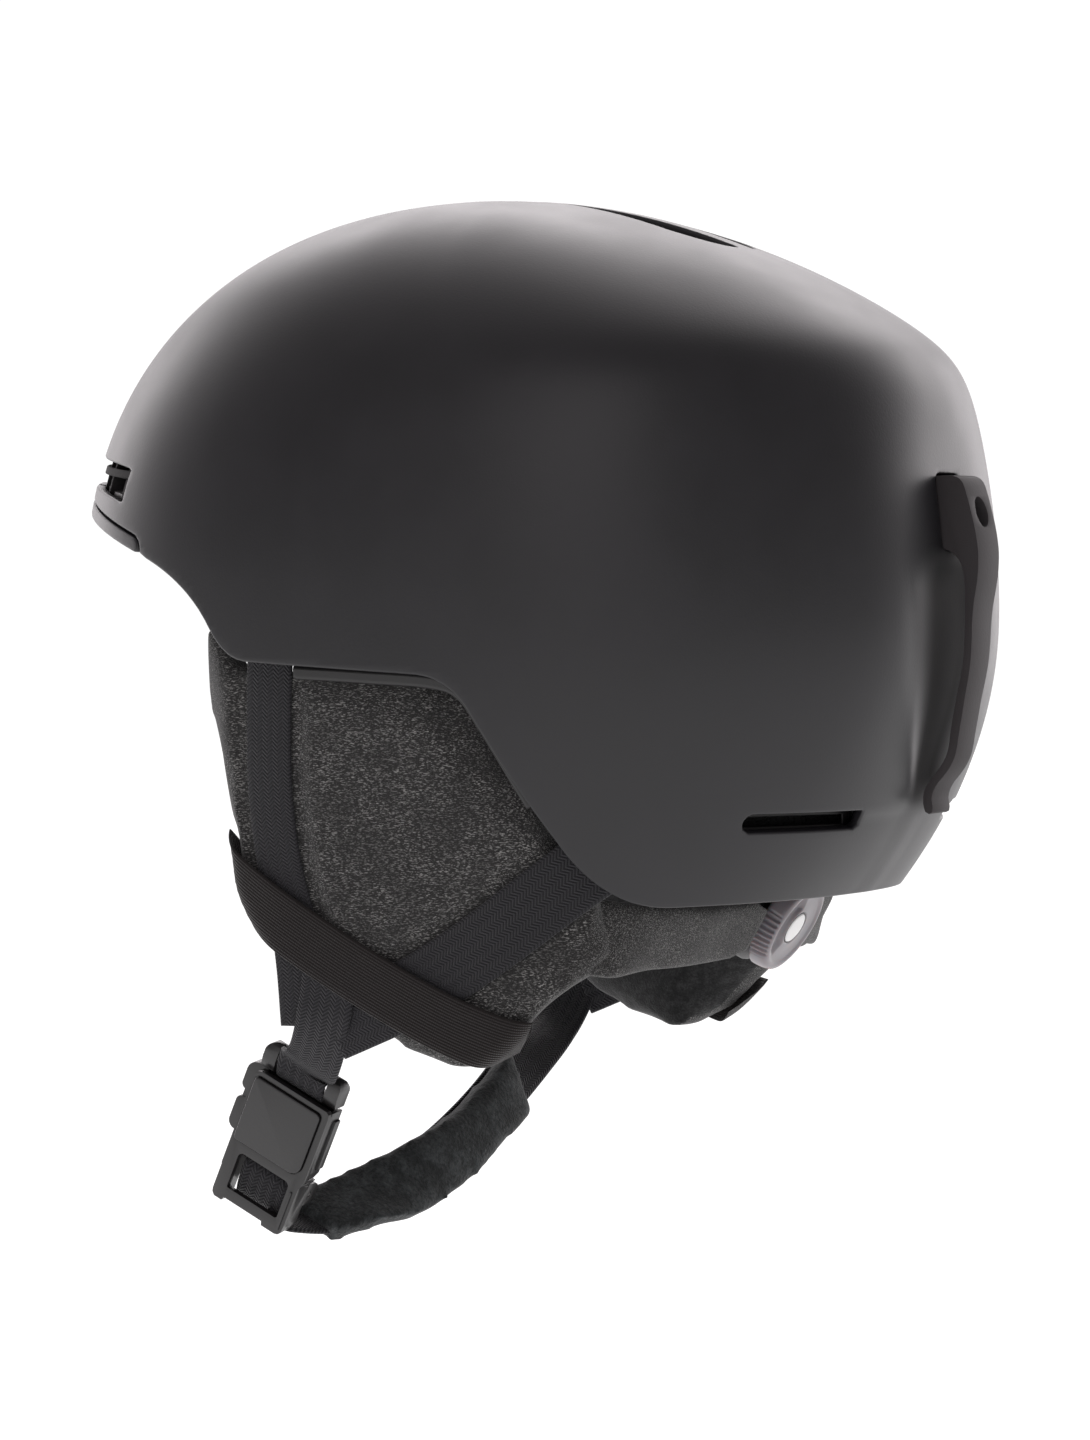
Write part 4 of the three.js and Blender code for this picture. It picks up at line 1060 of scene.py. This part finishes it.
# ---------------------------------------------------------------- CAD pieces with rounded edges
def refined(node, body, slot, material, width, segments=2):
    """The CAD piece with its flat faces merged and its edges rounded, in a better material."""
    def merge(bm):
        bmesh.ops.remove_doubles(bm, verts=bm.verts, dist=2e-6)
        bmesh.ops.dissolve_limit(bm, angle_limit=math.radians(1.5), verts=bm.verts, edges=bm.edges)

    obj = edit_mesh(linked(f"{node}_finished", frame["nodes"][node].data.copy()), merge)
    paint(obj, material)
    place(bevel(obj, width, segments, 32), body, slot, node)


for name, _ in SIDES:
    refined(f"top_vent_insert_{name}", HELMET, "grey_plastic", GREY, 0.5)
    refined(f"rear_vent_insert_{name}", HELMET, "grey_plastic", BLACK, 0.3)
    refined(f"fit_band_{name}", HELMET, "black_plastic", BLACK, 0.5)
    refined(f"strap_anchor_front_{name}", HELMET, "black_plastic", BLACK, 0.4)
    refined(f"strap_anchor_rear_{name}", HELMET, "black_plastic", BLACK, 0.4)
refined("nape_cradle", "nape_cradle", "black_plastic", BLACK, 0.7, 3)
refined("front_vent_grille", HELMET, "grey_plastic", GREY, 0.35)
refined("lace_spool", "fit_dial", "grey_plastic", GREY, 0.25)
refined("tongue_magnet", "buckle_tongue", "steel", STEEL, 0.3)
refined("receiver_magnet", "chin_strap", "steel", STEEL, 0.3)


# ---------------------------------------------------------------- padded pieces
def coordinates(mesh):
    co = np.empty(len(mesh.vertices) * 3, np.float32)
    mesh.vertices.foreach_get("co", co)
    return co.reshape(-1, 3) / MM


def set_coordinates(mesh, points):
    mesh.vertices.foreach_set("co", (np.asarray(points, np.float32) * MM).ravel())
    mesh.update()


def normals(mesh):
    n = np.empty(len(mesh.vertices) * 3, np.float32)
    mesh.vertices.foreach_get("normal", n)
    return n.reshape(-1, 3)


def swell(obj, pressure, last_frame=20):
    """Lets the mesh swell as cloth under pressure, without gravity."""
    modifier = obj.modifiers.new("cloth", "CLOTH")
    cloth = modifier.settings
    cloth.quality, cloth.mass = 4, 0.2
    cloth.tension_stiffness = cloth.compression_stiffness = 12
    cloth.use_pressure, cloth.uniform_pressure_force = True, pressure
    cloth.effector_weights.gravity = 0
    modifier.point_cache.frame_start, modifier.point_cache.frame_end = 1, last_frame
    for number in range(1, last_frame + 1):
        bpy.context.scene.frame_set(number)
    apply_modifiers(obj)
    bpy.context.scene.frame_set(1)
    return coordinates(obj.data)


def inflated(node, name, material, voxel, shrink, cap, pressure=4.0):
    """A pad from its CAD solid, drawn in a little and swollen. No point moves further than cap."""
    source = frame["nodes"][node]
    obj = linked(name, source.data.copy())
    obj.data.transform(source.matrix_world)
    low, high = coordinates(obj.data).min(0), coordinates(obj.data).max(0)
    modify(obj, "REMESH", mode="VOXEL", voxel_size=voxel * MM)
    start = coordinates(obj.data) - normals(obj.data) * shrink
    set_coordinates(obj.data, start)
    swollen = swell(obj, pressure)
    moved = swollen - start
    far = np.linalg.norm(moved, axis=1, keepdims=True)
    swollen = start + moved * np.minimum(1, cap / np.maximum(far, 1e-6))
    # The sides that the pressure has pulled in go back to the pad's full length and width.
    size = np.ptp(swollen, axis=0)
    grown = (swollen - swollen.min(0)) * (high - low) / size + low
    set_coordinates(obj.data, np.where(high - low > size, grown, swollen))
    modify(obj, "SUBSURF", levels=1, render_levels=1)
    paint(obj, material)
    return shade_smooth(obj)


def line_distance(route, points):
    """Distance in the pad's face from a route's middle line."""
    line = spline(route, 60)
    return np.linalg.norm(points[:, None, :] - line[None], axis=2).min(1)


# Each strap's route, half the width that it presses and how far out the pad stays under it.
PRESSED = ((FRONT_ROUTE, 7.5, -0.1), (REAR_ROUTE, 9, -0.1), (TRIM_ROUTE, 2, 0.1), (ELASTIC_ROUTE, 9.5, 1.6))


def ear_pad(name, side):
    """The ear pad, sunk under its straps and full between them."""
    obj = inflated(f"ear_pad_{name}", f"ear_cushion_{name}", HEATHER, 5, 1.1, 2.6)
    modify(obj, "SUBSURF", subdivision_type="SIMPLE", levels=1, render_levels=1)
    co, n = coordinates(obj.data), normals(obj.data)
    # The pad's top fills the gap under the shell, and its bottom hangs a little lower than the CAD solid.
    hang = np.interp(co[:, 1], [-40, -22, -6, 6, 16, 26, 38], [0, 3.2, 4, 2.8, 2.2, 1.8, 0.3])
    co[:, 2] += 3.5 * smooth(co[:, 2], -116, -98) - hang * smooth(-co[:, 2], 182, 201)
    out = co[:, 0] * side - pad_face(co[:, 1], co[:, 2])[:, 0]
    level = np.minimum(out, 1.9)
    for route, half, height in PRESSED:
        near = 1 - smooth(line_distance(route, co[:, 1:]), half + 1.0, half + 9)
        level = np.minimum(level, height + (1 - near) * 2.2)
    outside = smooth(n[:, 0] * side, 0.05, 0.5)
    co[:, 0] += side * outside * (level - out) * (out > level)
    set_coordinates(obj.data, co)
    obj.data.materials.append(LINING)
    for face in obj.data.polygons:
        face.material_index = 1 if face.normal.x * side < -0.45 else 0
    return obj


def wing(name, side):
    """The fabric that turns in from the ear pad's rear edge to the dial, leaning as the dial does."""
    middle = spline([
        (81.2, 46, -172.5), (78, 52, -174.8), (71.4, 58.2, -176.6), (62, 62.8, -177.4), (53, 66.3, -177.8),
        (44, 69.2, -177.8), (34, 71.9, -177.6), (25, 74.2, -177.2), (17.4, 76.0, -176.8),
    ], 72)
    t = np.linspace(0, 1, 72)
    half = np.interp(t, [0, 0.12, 0.3, 0.7, 0.93, 1], [12.5, 11.4, 10.2, 9.6, 9.2, 7.0])
    lean = smooth(t, 0.1, 0.5)[:, None]
    up_way = unit(np.array([0.1, 0, 1.0]) * (1 - lean) + DIAL_UP * lean)
    along = unit(np.gradient(middle, axis=0))
    inward = unit(np.cross(along, up_way))
    inward = np.where((inward * [-1, -1, 0]).sum(1, keepdims=True) < 0, -inward, inward)
    a = np.linspace(0, 2 * np.pi, 41)[:-1]
    ca, sa = np.cos(a), np.sin(a)
    up = np.sign(ca) * np.abs(ca) ** 0.4
    deep = np.sign(sa) * np.abs(sa) ** 0.6
    thick = np.interp(t, [0, 0.1, 0.5, 0.95, 1], [2.4, 3.0, 2.2, 2.0, 1.0])[:, None]
    crease = 0.3 * np.sin(t * 17)[:, None] * np.maximum(-sa, 0) * np.sin(np.pi * t)[:, None]
    rows = (middle[:, None] + up_way[:, None] * (up * half[:, None])[..., None]
            + inward[:, None] * (thick + 0.2 + deep * thick + crease)[..., None])
    rows[..., 0] *= side
    return sweep(f"nape_wrap_{name}", rows, HEATHER, t * 80, a * 5)


def cushion(node, body, slot, material):
    obj = inflated(node, node.replace("pad", "cushion"), material, 3.5, 0.8, 1.6)
    place(obj, body, slot, node)


for name, side in SIDES:
    place(ear_pad(name, side), HELMET, "heather_fabric", f"ear_pad_{name}")
    place(wing(name, side), HELMET, "heather_fabric", f"nape_wing_{name}")
    cushion(f"side_pad_{name}", HELMET, "liner_fabric", LINING)
cushion("brow_pad", HELMET, "liner_fabric", LINING)
cushion("crown_pad", HELMET, "liner_fabric", LINING)
cushion("nape_pad", "nape_cradle", "heather_fabric", HEATHER)


# ---------------------------------------------------------------- buckle
BUCKLE_CENTRE = np.array([62, -54.6, -237.6])
BUCKLE_DOWN = unit([-0.16, -0.449, -0.879])
BUCKLE_OUT = unit(np.array([1, 0, 0]) - BUCKLE_DOWN[0] * BUCKLE_DOWN)
BUCKLE_BACK = np.cross(BUCKLE_OUT, BUCKLE_DOWN)


def buckle_space(p):
    """From the buckle's own x (backwards), y (up the strap) and z (outwards) to the helmet's."""
    p = np.asarray(p, float)
    return BUCKLE_CENTRE + p[..., :1] * BUCKLE_BACK - p[..., 1:2] * BUCKLE_DOWN + p[..., 2:3] * BUCKLE_OUT


def from_side(p):
    """The same, for an outline drawn in y and z and carried along x."""
    p = np.asarray(p, float)
    return buckle_space(np.stack([p[..., 2], p[..., 0], p[..., 1]], -1))


def flat(name, line, low, high):
    return prism(name, line, low, high, buckle_space, BUCKLE)


# The receiver's front face with the window for the lever, the cover's outline and the pocket that holds it.
FACE = [
    (-12.1, -26.2), (-9.4, -26.2), (-9.0, -25.0), (5.0, -25.0), (5.4, -26.2), (10.2, -26.2), (11.4, -25.8),
    (12.1, -24.7), (12.3, -22), (12.35, -14), (12.4, -10.6), (12.55, -9.4), (13.0, -8.2), (13.4, -6.6),
    (13.5, -5.0), (13.5, 15.2), (13.2, 16.2), (12.4, 16.8), (-11.4, 16.8), (-12.7, 16.3), (-13.4, 15.1),
    (-13.5, 13.8), (-13.5, -15.4), (-13.3, -15.9), (-13.3, -24.2), (-13.0, -25.3),
]
PLATE = rounded(-12.5, -6.2, 11.2, 15.0, [1.2, 3.6, 1.6, 1.3], 6)
POCKET = rounded(-12.85, -6.55, 11.55, 15.35, [1.5, 3.9, 1.9, 1.6], 6)
PIN_Y, PIN_Z = -14.0, -5.4


def build_receiver():
    """The face with its window, the walls behind it and the ears that hold the lever's pin."""
    body = flat("buckle_receiver_body", FACE, 1.5, 3.5)
    walls = [
        flat("wall", [(12.5, -7.5), (13.5, -5), (13.5, 16.4), (12.5, 16.4)], -3.5, 1.8),
        flat("wall", [(-13.3, -25.6), (-10, -25.9), (-10, -8.3), (-13.3, -8.3)], -3.5, 1.8),
        flat("wall", [(10, -25.9), (11.6, -25.4), (12.3, -23), (12.35, -8.3), (10, -8.3)], -3.5, 1.8),
        flat("wall", [(-13.3, -9.6), (12.4, -9.6), (13.4, -7.6), (-13.3, -7.6)], -3.5, 1.8),
        flat("rib", rounded(10.3, -24.6, 11.2, -11.5, 0.4), 3.2, 4.0),
    ]
    lobe = [(-17.4, -3.0), (-17.1, -6.4), (-16.2, -8.2), (-14.6, -9.0), (-12.4, -9.0), (-10.9, -8.0),
            (-10.2, -6.2), (-9.8, -3.0)]
    walls += [prism("ear", lobe, x, x + 1.8, from_side) for x in (-12.4, 10.6)]
    combine(body, walls, "UNION")
    cuts = [
        flat("cut", rounded(-9.2, -21.6, 9.2, -9.4, [0.5, 0.8, 1.6, 1.6]), -9, 9),
        flat("cut", POCKET, 3.1, 6),
        prism("cut", ring_of(0.8, 24, PIN_Y, PIN_Z), -14, 14, from_side),
    ]
    combine(body, cuts, "DIFFERENCE")
    return bevel(body, 0.42, 3, 30)


place(build_receiver(), "chin_strap", "black_plastic", "buckle_receiver")
cover = bevel(flat("buckle_plate", PLATE, 3.2, 4.35), 0.4, 3, 30)
place(cover, "chin_strap", "black_plastic", "buckle_cover")


def build_tongue():
    """The sliding plate, the strap's loop at its top and the finger grips at its sides."""
    body = flat("buckle_tongue_body", rounded(-12, -7, 12, 18.8, 0.8), -3.5, -1.5)
    loop = flat("loop", rounded(-13.5, 17.4, 13.5, 26.5, [0.6, 0.6, 3.4, 3.4], 8), -3.45, 2.6)
    side_view = [(16.9, -3.9), (21.5, -3.9), (24.2, -3.2), (25.8, -2.2), (26.5, -0.7), (26.4, 0.8),
        (25.4, 2.0),
                 (23.8, 2.5), (21, 2.5), (18.6, 1.9), (16.9, 0.6)]
    combine(loop, [prism("side", side_view, -15, 15, from_side)], "INTERSECT")
    grips = [flat("grip", rounded(-17.6, -5.6, -11, 5.2, [2.6, 0.4, 0.4, 2.0], 6), -3.4, 0.6),
             flat("grip", rounded(-17.6, 7.6, -10.9, 17.2, [1.8, 0.4, 0.4, 3.4], 6), -3.3, 0.65),
             flat("bridge", rounded(-16.2, -3, -10.9, 16, 0.4), -3.3, 0.4),
             flat("grip", rounded(11, -3.6, 14.3, 13.4, [1.2, 1.2, 0.4, 0.4]), -3.2, -0.6)]
    cuts = [
        flat("cut", rounded(-9, 19.2, 9, 23.2, 1.0), -9, 9),
        flat("cut", rounded(-9, 14, 9, 31, 0.6), 0.2, 9),
    ]
    combine(loop, cuts, "DIFFERENCE")
    combine(body, [loop] + grips, "UNION")
    return bevel(body, 0.42, 3, 30)


place(build_tongue(), "buckle_tongue", "black_plastic", "buckle_tongue")


def build_lever():
    """A barrel round the pin with a flat ribbed tail."""
    y, z, r = PIN_Y, PIN_Z, 1.6
    turn = np.radians(np.linspace(80, -90, 14))
    nose = [(y + r * math.cos(a), z + r * math.sin(a)) for a in turn]
    line = nose + [(y - 8, z - r), (y - 8.6, z - r + 0.3), (y - 8.7, z - r + 0.9), (y - 8, z - r + 1.3),
                   (y - 3.2, z - r + 1.45), (y - 2.0, z - r + 2.2), (y - 1.0, z + r)]
    body = prism("adjuster_lever_body", line, -9.8, 9.8, from_side, BUCKLE)
    combine(body, [prism("cut", ring_of(0.7, 24, y, z), -12, 12, from_side)], "DIFFERENCE")
    ribs = [flat("rib", rounded(-7, v, 7, v + 0.7, 0.3), -7.2, -6.8) for v in (-21.4, -20.0, -18.6)]
    combine(body, ribs, "UNION")
    return bevel(body, 0.25, 2, 30)


place(build_lever(), "adjuster_lever", "black_plastic", "adjuster_lever")


# ---------------------------------------------------------------- chin strap
def free_strap(name, points, across, steps):
    """Webbing along a curve in space. across(t) is the direction of its width."""
    line = spline(points, steps)
    along = unit(np.gradient(line, axis=0))
    side = np.array([across(t) for t in np.linspace(0, 1, steps)])
    through = unit(np.cross(along, side))
    side = unit(np.cross(through, along))
    s, d = strap_section(17, 1.4).T
    rows = line[:, None] + side[:, None] * s[:, None] + through[:, None] * d[:, None]
    return sweep(name, rows, WEBBING, lengths_along(line), s)


def at_buckle(x, y, z):
    return buckle_space(np.array([x, y, z], float))


MIRROR = np.array([-1, 1, 1])
PAD_ACROSS = np.array([0, 0.99, -0.12])  # a strap's width where it lies on the ear pad
UPRIGHT = np.array([0, 0.3, -0.95])  # and where it passes under the chin
SEWN = [pad_face(-26.5, -186, 1.5), pad_face(-27.4, -193, 1.7), pad_face(-29.2, -200, 1.5)]
DROP_ROUTE = SEWN + [
    (79.4, -32.4, -207.6), (74.2, -37.4, -214.0), at_buckle(0, 25.2, 1.9), at_buckle(0, 20.6, 0.9),
    at_buckle(0, 17.6, -0.5),
]


def drop_across(t):
    """The strap's width lies along the pad at the top and along the buckle's loop at the bottom."""
    return PAD_ACROSS + (BUCKLE_BACK - PAD_ACROSS) * smooth(t, 0.25, 0.85)


drop = free_strap("drop_webbing", DROP_ROUTE, drop_across, 80)
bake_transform(drop)
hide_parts("drop_strap", "strap_joint_left")

CHIN_ROUTE = [
    at_buckle(0, -11.9, -2.2), at_buckle(0, -12.9, -1.0), at_buckle(0, -17.5, -1.1),
    at_buckle(0, -22.3, -2.4),
    at_buckle(0, -24.8, -5.4), (49.5, -60.8, -261.4), (36, -53, -262.2), (20, -43.5, -258.2),
    (0, -37.5, -250.5),
    (-20, -34, -241), (-38, -32, -231), (-55, -32, -222), (-68, -32.5, -216.8), (-75.6, -32.4, -212.7),
    (-80.4, -31.4, -207), *(MIRROR * p for p in reversed(SEWN)),
]


def chin_across(t):
    """As the buckle at one end and as the pad at the other, and upright between them."""
    last = smooth(t, 0.57, 0.88)
    ends = BUCKLE_BACK + (PAD_ACROSS - BUCKLE_BACK) * last
    return ends + (UPRIGHT - ends) * smooth(t, 0.22, 0.44) * (1 - last)


chin = free_strap("chin_webbing", CHIN_ROUTE, chin_across, 170)
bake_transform(chin)
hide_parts("chin_strap", "strap_joint_right")

chin_pad = inflated("chin_pad", "chin_fleece", FLEECE, 2.4, 0.8, 1.3, 3.0)
modify(chin_pad, "SMOOTH", factor=0.5, iterations=8)
place(chin_pad, "chin_strap", "fleece", "chin_pad")


# ---------------------------------------------------------------- louvre and ribs in the brow vent
def in_brow_vent(p, margin=1.5):
    return inside_distance(FRONT_VENT, p[..., [0, 2]]) + margin


def louvre_region(p, half=1.15):
    middle = -43.35 - 0.0009 * np.maximum(np.abs(p[..., 0]) - 20, 0) ** 2
    return np.minimum(half - np.abs(p[..., 2] - middle), in_brow_vent(p))


def rib_region(p, pitch=158 / 14, half=0.9):
    turns = p[..., 0] / pitch + 0.5
    return np.minimum(half - np.abs(turns - np.round(turns)) * pitch, in_brow_vent(p))


BROW_STRIPS = (("vent_louvre", louvre_region, 1.3, 2.6), ("vent_ribs", rib_region, 2.5, 4.0))
for name, region, sink, wall in BROW_STRIPS:
    strip = front_strip(name, region, sink, (112, 248, 300), (0.55, 0.86, 70), wall, 0.35, DULL)
    place(strip, HELMET, "black_plastic")


# ---------------------------------------------------------------- the CAD pieces that stay
NODE_MATERIALS = {
    "foam": FOAM, "grey_plastic": GREY, "black_plastic": BLACK,
    "smoke_plastic": SMOKE, "white_plastic": WHITE,
    "heather_fabric": HEATHER, "liner_fabric": LINING, "fleece": FLEECE,
    "webbing": WEBBING, "elastic": ELASTIC,
    "rubber_trim": BLACK, "shell": SHELL, "steel": STEEL,
}
for row in frame["record"]["subparts"]:
    node = frame["nodes"][row["node"]]
    paint(node, NODE_MATERIALS[row["material_slot"]])


# ---------------------------------------------------------------- camera, light and floor
def aim(obj, target):
    direction = Vector(target) - obj.location
    obj.rotation_mode = "QUATERNION"
    obj.rotation_quaternion = direction.to_track_quat("-Z", "Y")


TARGET = Vector((0, 0, -0.118))
AZIMUTH, ELEVATION, DISTANCE = math.radians(116), math.radians(2), 1.6
camera_data = bpy.data.cameras.new("camera")
camera_data.lens = 136
camera_data.sensor_width = 36
camera_data.clip_start, camera_data.clip_end = 0.05, 50
camera = linked("camera", camera_data)
camera.location = TARGET + DISTANCE * Vector(
    (math.sin(AZIMUTH) * math.cos(ELEVATION), -math.cos(AZIMUTH) * math.cos(ELEVATION), math.sin(ELEVATION))
)
aim(camera, TARGET)
bpy.context.scene.camera = camera

WARM = (1.0, 0.955, 0.97)
FLOOR_Z, FLOOR_HALF = -385, 6000  # low enough for the chin strap to hang open above it


def camera_frame(right, up, back):
    """A point round the object in the photograph camera's own directions, in metres."""
    r = Vector((math.cos(AZIMUTH), math.sin(AZIMUTH), 0))
    b = Vector((math.sin(AZIMUTH), -math.cos(AZIMUTH), 0))
    return TARGET + right * r + back * b + Vector((0, 0, up))


def softbox(name, position, width, height, power):
    data = bpy.data.lights.new(name, "AREA")
    data.shape, data.size, data.size_y, data.energy = "RECTANGLE", width, height, power
    data.color = WARM
    light = linked(name, data)
    light.location = camera_frame(*position)
    aim(light, TARGET)


softbox("top", (0.05, 1.05, -1.3), 1.6, 0.7, 9.5)
softbox("left", (-1.2, 0.25, -1.25), 0.8, 1.5, 9)
softbox("right", (1.2, 0.25, -1.25), 0.8, 1.5, 10)
softbox("fill", (-0.6, 0.9, 1.7), 1.2, 1.2, 5)

corners = [(x * FLOOR_HALF, y * FLOOR_HALF, FLOOR_Z) for x, y in ((-1, -1), (1, -1), (1, 1), (-1, 1))]
floor = new_object("floor", corners, [(0, 1, 2, 3)], smooth_shade=False)
paper = Nodes("pale_floor")
paper.shader.inputs["Emission Color"].default_value = (1, 1, 1, 1)
floor.data.materials.append(paper.finish((0.3, 0.3, 0.3), 0.9, Emission_Strength=0.9, Specular_IOR_Level=0.1))

world = bpy.data.worlds.new("studio")
bpy.context.scene.world = world
world.use_nodes = True
tree = world.node_tree
tree.nodes.clear()


def world_node(kind, **values):
    """A node of the world. Each value is a number, a colour or the output that feeds that socket."""
    node = tree.nodes.new(kind)
    for key, value in values.items():
        socket = node.inputs[int(key[1:]) if key[1:].isdigit() else key.replace("_", " ")]
        if isinstance(value, bpy.types.NodeSocket):
            tree.links.new(value, socket)
        else:
            socket.default_value = value
    return node


# A pale room that is bright behind the object and dim on the camera's side. The camera itself sees white.
direction = world_node("ShaderNodeTexCoord").outputs["Generated"]
behind = world_node("ShaderNodeVectorMath", _0=direction, _1=(-math.sin(AZIMUTH), math.cos(AZIMUTH), 0.35))
behind.operation = "DOT_PRODUCT"
level = world_node(
    "ShaderNodeMapRange", Value=behind.outputs["Value"], From_Min=0.35, From_Max=1.0, To_Min=0.27, To_Max=1.5
)
level.interpolation_type = "SMOOTHSTEP"
lighting = world_node("ShaderNodeBackground", Color=(*WARM, 1), Strength=level.outputs["Result"])
seen_white = world_node("ShaderNodeBackground", Color=(1, 1, 1, 1), Strength=1.05)
seen = world_node("ShaderNodeLightPath").outputs["Is Camera Ray"]
choose = world_node("ShaderNodeMixShader", _0=seen, _1=lighting.outputs[0], _2=seen_white.outputs[0])
world_node("ShaderNodeOutputWorld", _0=choose.outputs[0])
bpy.context.scene.view_settings.view_transform = "Standard"
